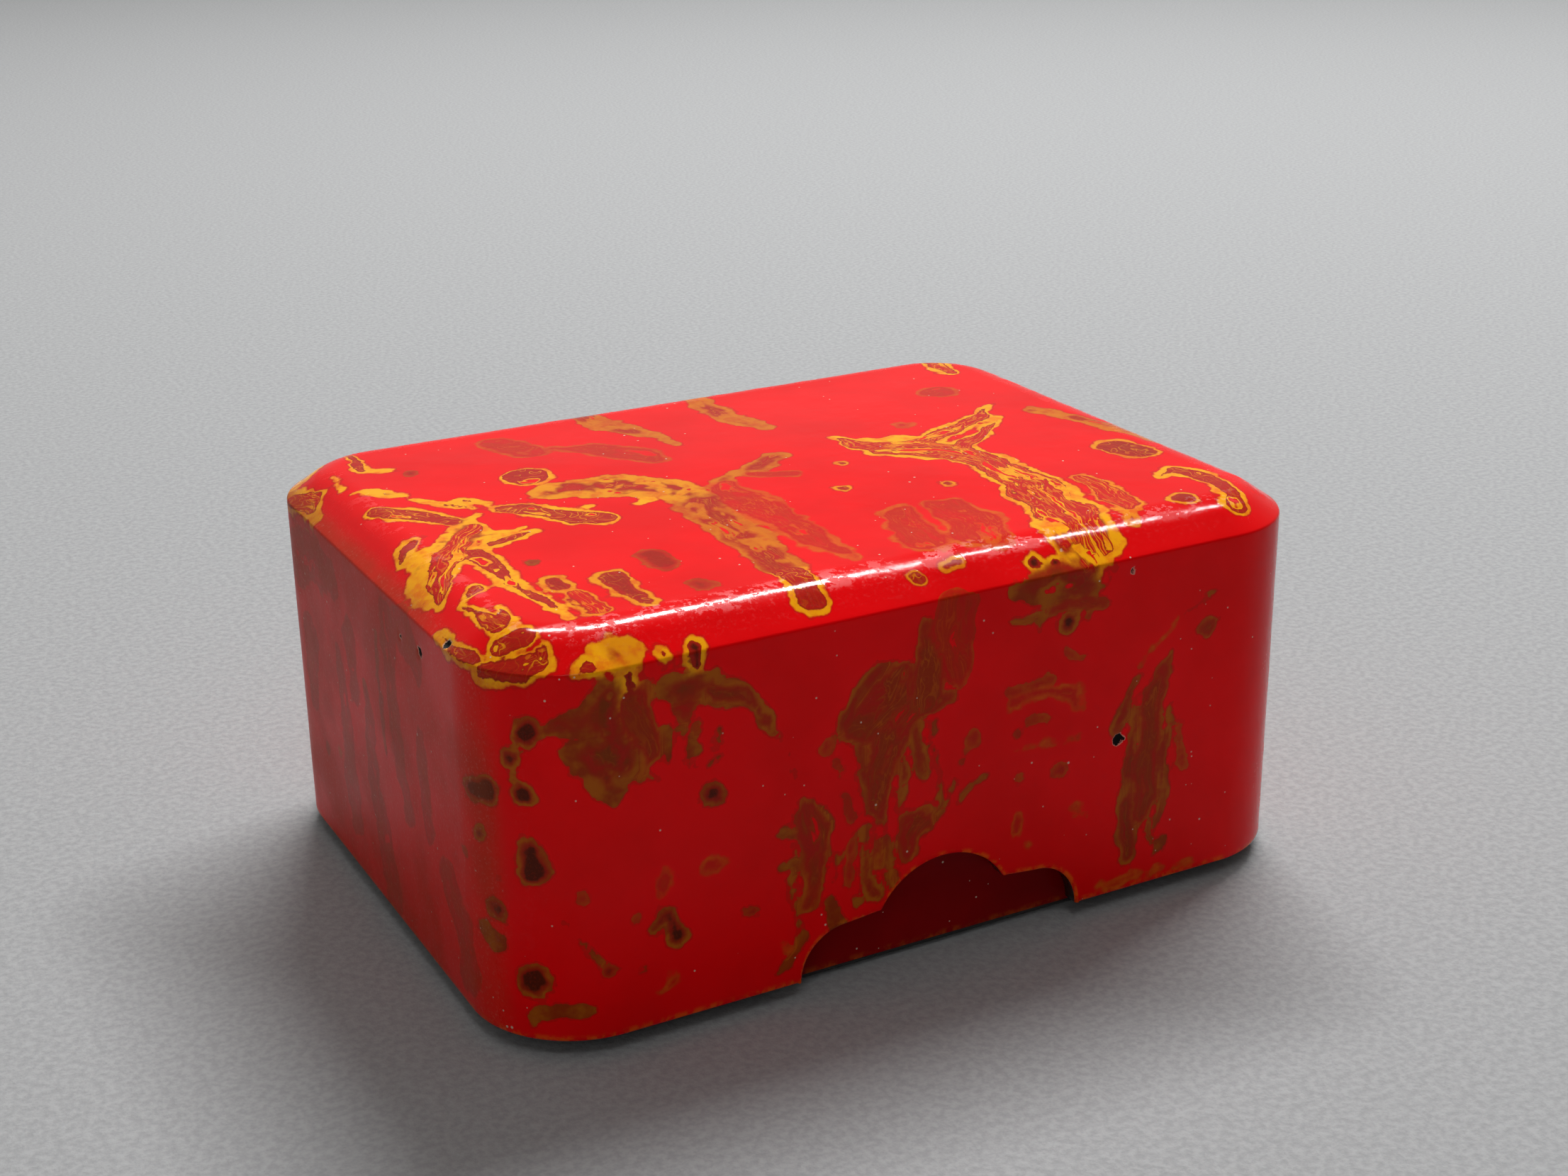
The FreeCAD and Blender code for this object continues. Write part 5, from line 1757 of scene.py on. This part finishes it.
def makeBrush(side, bamboo, horn, hair, capBamboo):
    body = side + "_brush"
    handle, collar, tip, cap = [body + part for part in ("_handle", "_collar", "_tip", "_cap")]
    size = skinSize(handle, 1)
    axis = (0, size["centreY"], (size["low"] + size["high"]) / 2)
    steps = brush["turnSteps"]
    bm = spun(handleOutline(*endsOf(handle)), axis, steps)
    bendCane(bm, axis)
    addPiece(side + "BrushHandle", bm, body, (handle,), "bamboo", bamboo)
    bm = spun(outlined(*endsOf(collar), brush["collarRadius"], brush["collarStart"],
                       brush["collarEnd"]), axis, steps)
    addPiece(side + "BrushCollar", bm, body, (collar,), "horn", horn)
    bm = spun(hairOutline(*endsOf(tip)), axis, brush["tipSteps"][1])
    combHair(bm, axis, *endsOf(tip))
    addPiece(side + "BrushHair", bm, body, (tip,), "hair", hair)
    bm = spun(capOutline(*endsOf(cap), skinSize(cap, 1)["width"] / 2 / mm), axis, steps)
    addPiece(side + "BrushCap", bm, side + "_cap", (cap,), "cap_bamboo", capBamboo)


def makeBrushes():
    start, end = endsOf("front_brush_tip")
    stains = [start + (end - start) * share for share in brush["inkedFrom"]]
    bamboo = makeBamboo("handleBamboo", *brush["bamboo"],
                        endsOf("front_brush_handle")[0] + brush["nodeAt"])
    capBamboo = makeBamboo("paleCapBamboo", *brush["capBamboo"],
                           endsOf("front_brush_cap")[1] - brush["capRing"])
    horn = makeHorn("darkHorn")
    hair = makeHair("paleHair", *stains)
    for side in ("front", "rear"):
        makeBrush(side, bamboo, horn, hair, capBamboo)


makeStone()
makeDropper()
makeInkStick()
makeBrushes()
print("stone, dropper, ink stick and brushes made")


# Floor, light and camera

studio = {
    "floorSize": 6.0,
    "floorPale": rgb(0.38, 0.385, 0.39),
    "floorDeep": rgb(0.31, 0.315, 0.32),
    "roomColour": rgb(0.95, 0.93, 0.90),
    "roomBright": 0.41,             # the end of the room that the top mirrors
    "roomDim": 0.065,
    "brightWay": (0.35, 0.80, 0.48),
    "roomTurn": (-0.25, 0.95),      # how nearly that way, where it is dim and where bright
    "feltBump": 0.0002,
    # name, place, aimed at, size, power
    "lamps": (
        ("keyBehind", (0.82, 0.80, 1.63), (0, 0, 0.05), (1.30, 0.12), 44),
        ("keyFront", (-0.30, -0.90, 1.70), (0, 0, 0.03), (0.50, 0.50), 3.2),
        ("edgeGlint", (0.50, 1.00, 1.60), (0, 0, 0.05), (0.90, 0.20), 60),
        ("cornerFill", (-0.80, -0.98, 0.55), (0, 0, 0.03), (0.90, 0.90), 1.9),
    ),
}
view = {
    "lens": 52.37,
    "sensor": 36.0,
    "clip": (0.01, 30.0),
    "place": (-0.17907, -0.33984, 0.19303),
    "turns": ((-0.48880, "Z"), (1.20740, "X"), (-0.01500, "Z")),
}


def makeStudio():
    bm = bmesh.new()
    bmesh.ops.create_grid(bm, x_segments=1, y_segments=1, size=studio["floorSize"])
    mesh = bpy.data.meshes.new("studioFloor")
    bm.to_mesh(mesh)
    bm.free()
    floor = bpy.data.objects.new("studioFloor", mesh)
    bpy.context.scene.collection.objects.link(floor)
    it = Finish("paleFloor")
    felt = it.noise(it.millimetres(), 0.7, 3.0, 0.6)
    mesh.materials.append(it.finish(
        Base_Color=it.mix(it.step(felt, 0.3, 0.7), studio["floorDeep"], studio["floorPale"]),
        Roughness=0.9, Normal=it.bump(felt, studio["feltBump"]), Specular_IOR_Level=0.2))
    lightRoom()
    for name, place, aim, size, power in studio["lamps"]:
        light = bpy.data.lights.new(name, "AREA")
        light.shape = "RECTANGLE"
        light.size, light.size_y = size
        light.energy = power
        lamp = bpy.data.objects.new(name, light)
        lamp.location = place
        lamp.rotation_euler = (Vector(aim) - Vector(place)).to_track_quat("-Z", "Y").to_euler()
        lamp.visible_glossy = not name.endswith("Fill")
        lamp.visible_diffuse = not name.endswith("Glint")
        bpy.context.scene.collection.objects.link(lamp)


def lightRoom():
    # a soft room, brighter behind the box than in front of it
    world = bpy.data.worlds.new("softRoom")
    world.use_nodes = True
    tree = world.node_tree
    way = tree.nodes.new("ShaderNodeTexCoord").outputs["Generated"]
    facing = tree.nodes.new("ShaderNodeVectorMath")
    facing.operation = "DOT_PRODUCT"
    facing.inputs[1].default_value = studio["brightWay"]
    spread = tree.nodes.new("ShaderNodeMapRange")
    spread.interpolation_type = "SMOOTHSTEP"
    dim, bright = studio["roomTurn"]
    for socket, value in (("From Min", dim), ("From Max", bright),
                          ("To Min", studio["roomDim"]), ("To Max", studio["roomBright"])):
        spread.inputs[socket].default_value = value
    tree.links.new(way, facing.inputs[0])
    tree.links.new(facing.outputs["Value"], spread.inputs["Value"])
    tree.links.new(spread.outputs["Result"], tree.nodes["Background"].inputs["Strength"])
    tree.nodes["Background"].inputs["Color"].default_value = studio["roomColour"]
    bpy.context.scene.world = world


def makeCamera():
    data = bpy.data.cameras.new("viewCamera")
    data.lens, data.sensor_width = view["lens"], view["sensor"]
    data.clip_start, data.clip_end = view["clip"]
    camera = bpy.data.objects.new("viewCamera", data)
    turn = Matrix.Identity(3)
    for angle, axis in view["turns"]:
        turn = turn @ Matrix.Rotation(angle, 3, axis)
    camera.location = view["place"]
    camera.rotation_euler = turn.to_euler()
    bpy.context.scene.collection.objects.link(camera)
    bpy.context.scene.camera = camera


makeStudio()
makeCamera()
bpy.context.scene.view_settings.view_transform = "Standard"
print("floor, lamps and camera made")
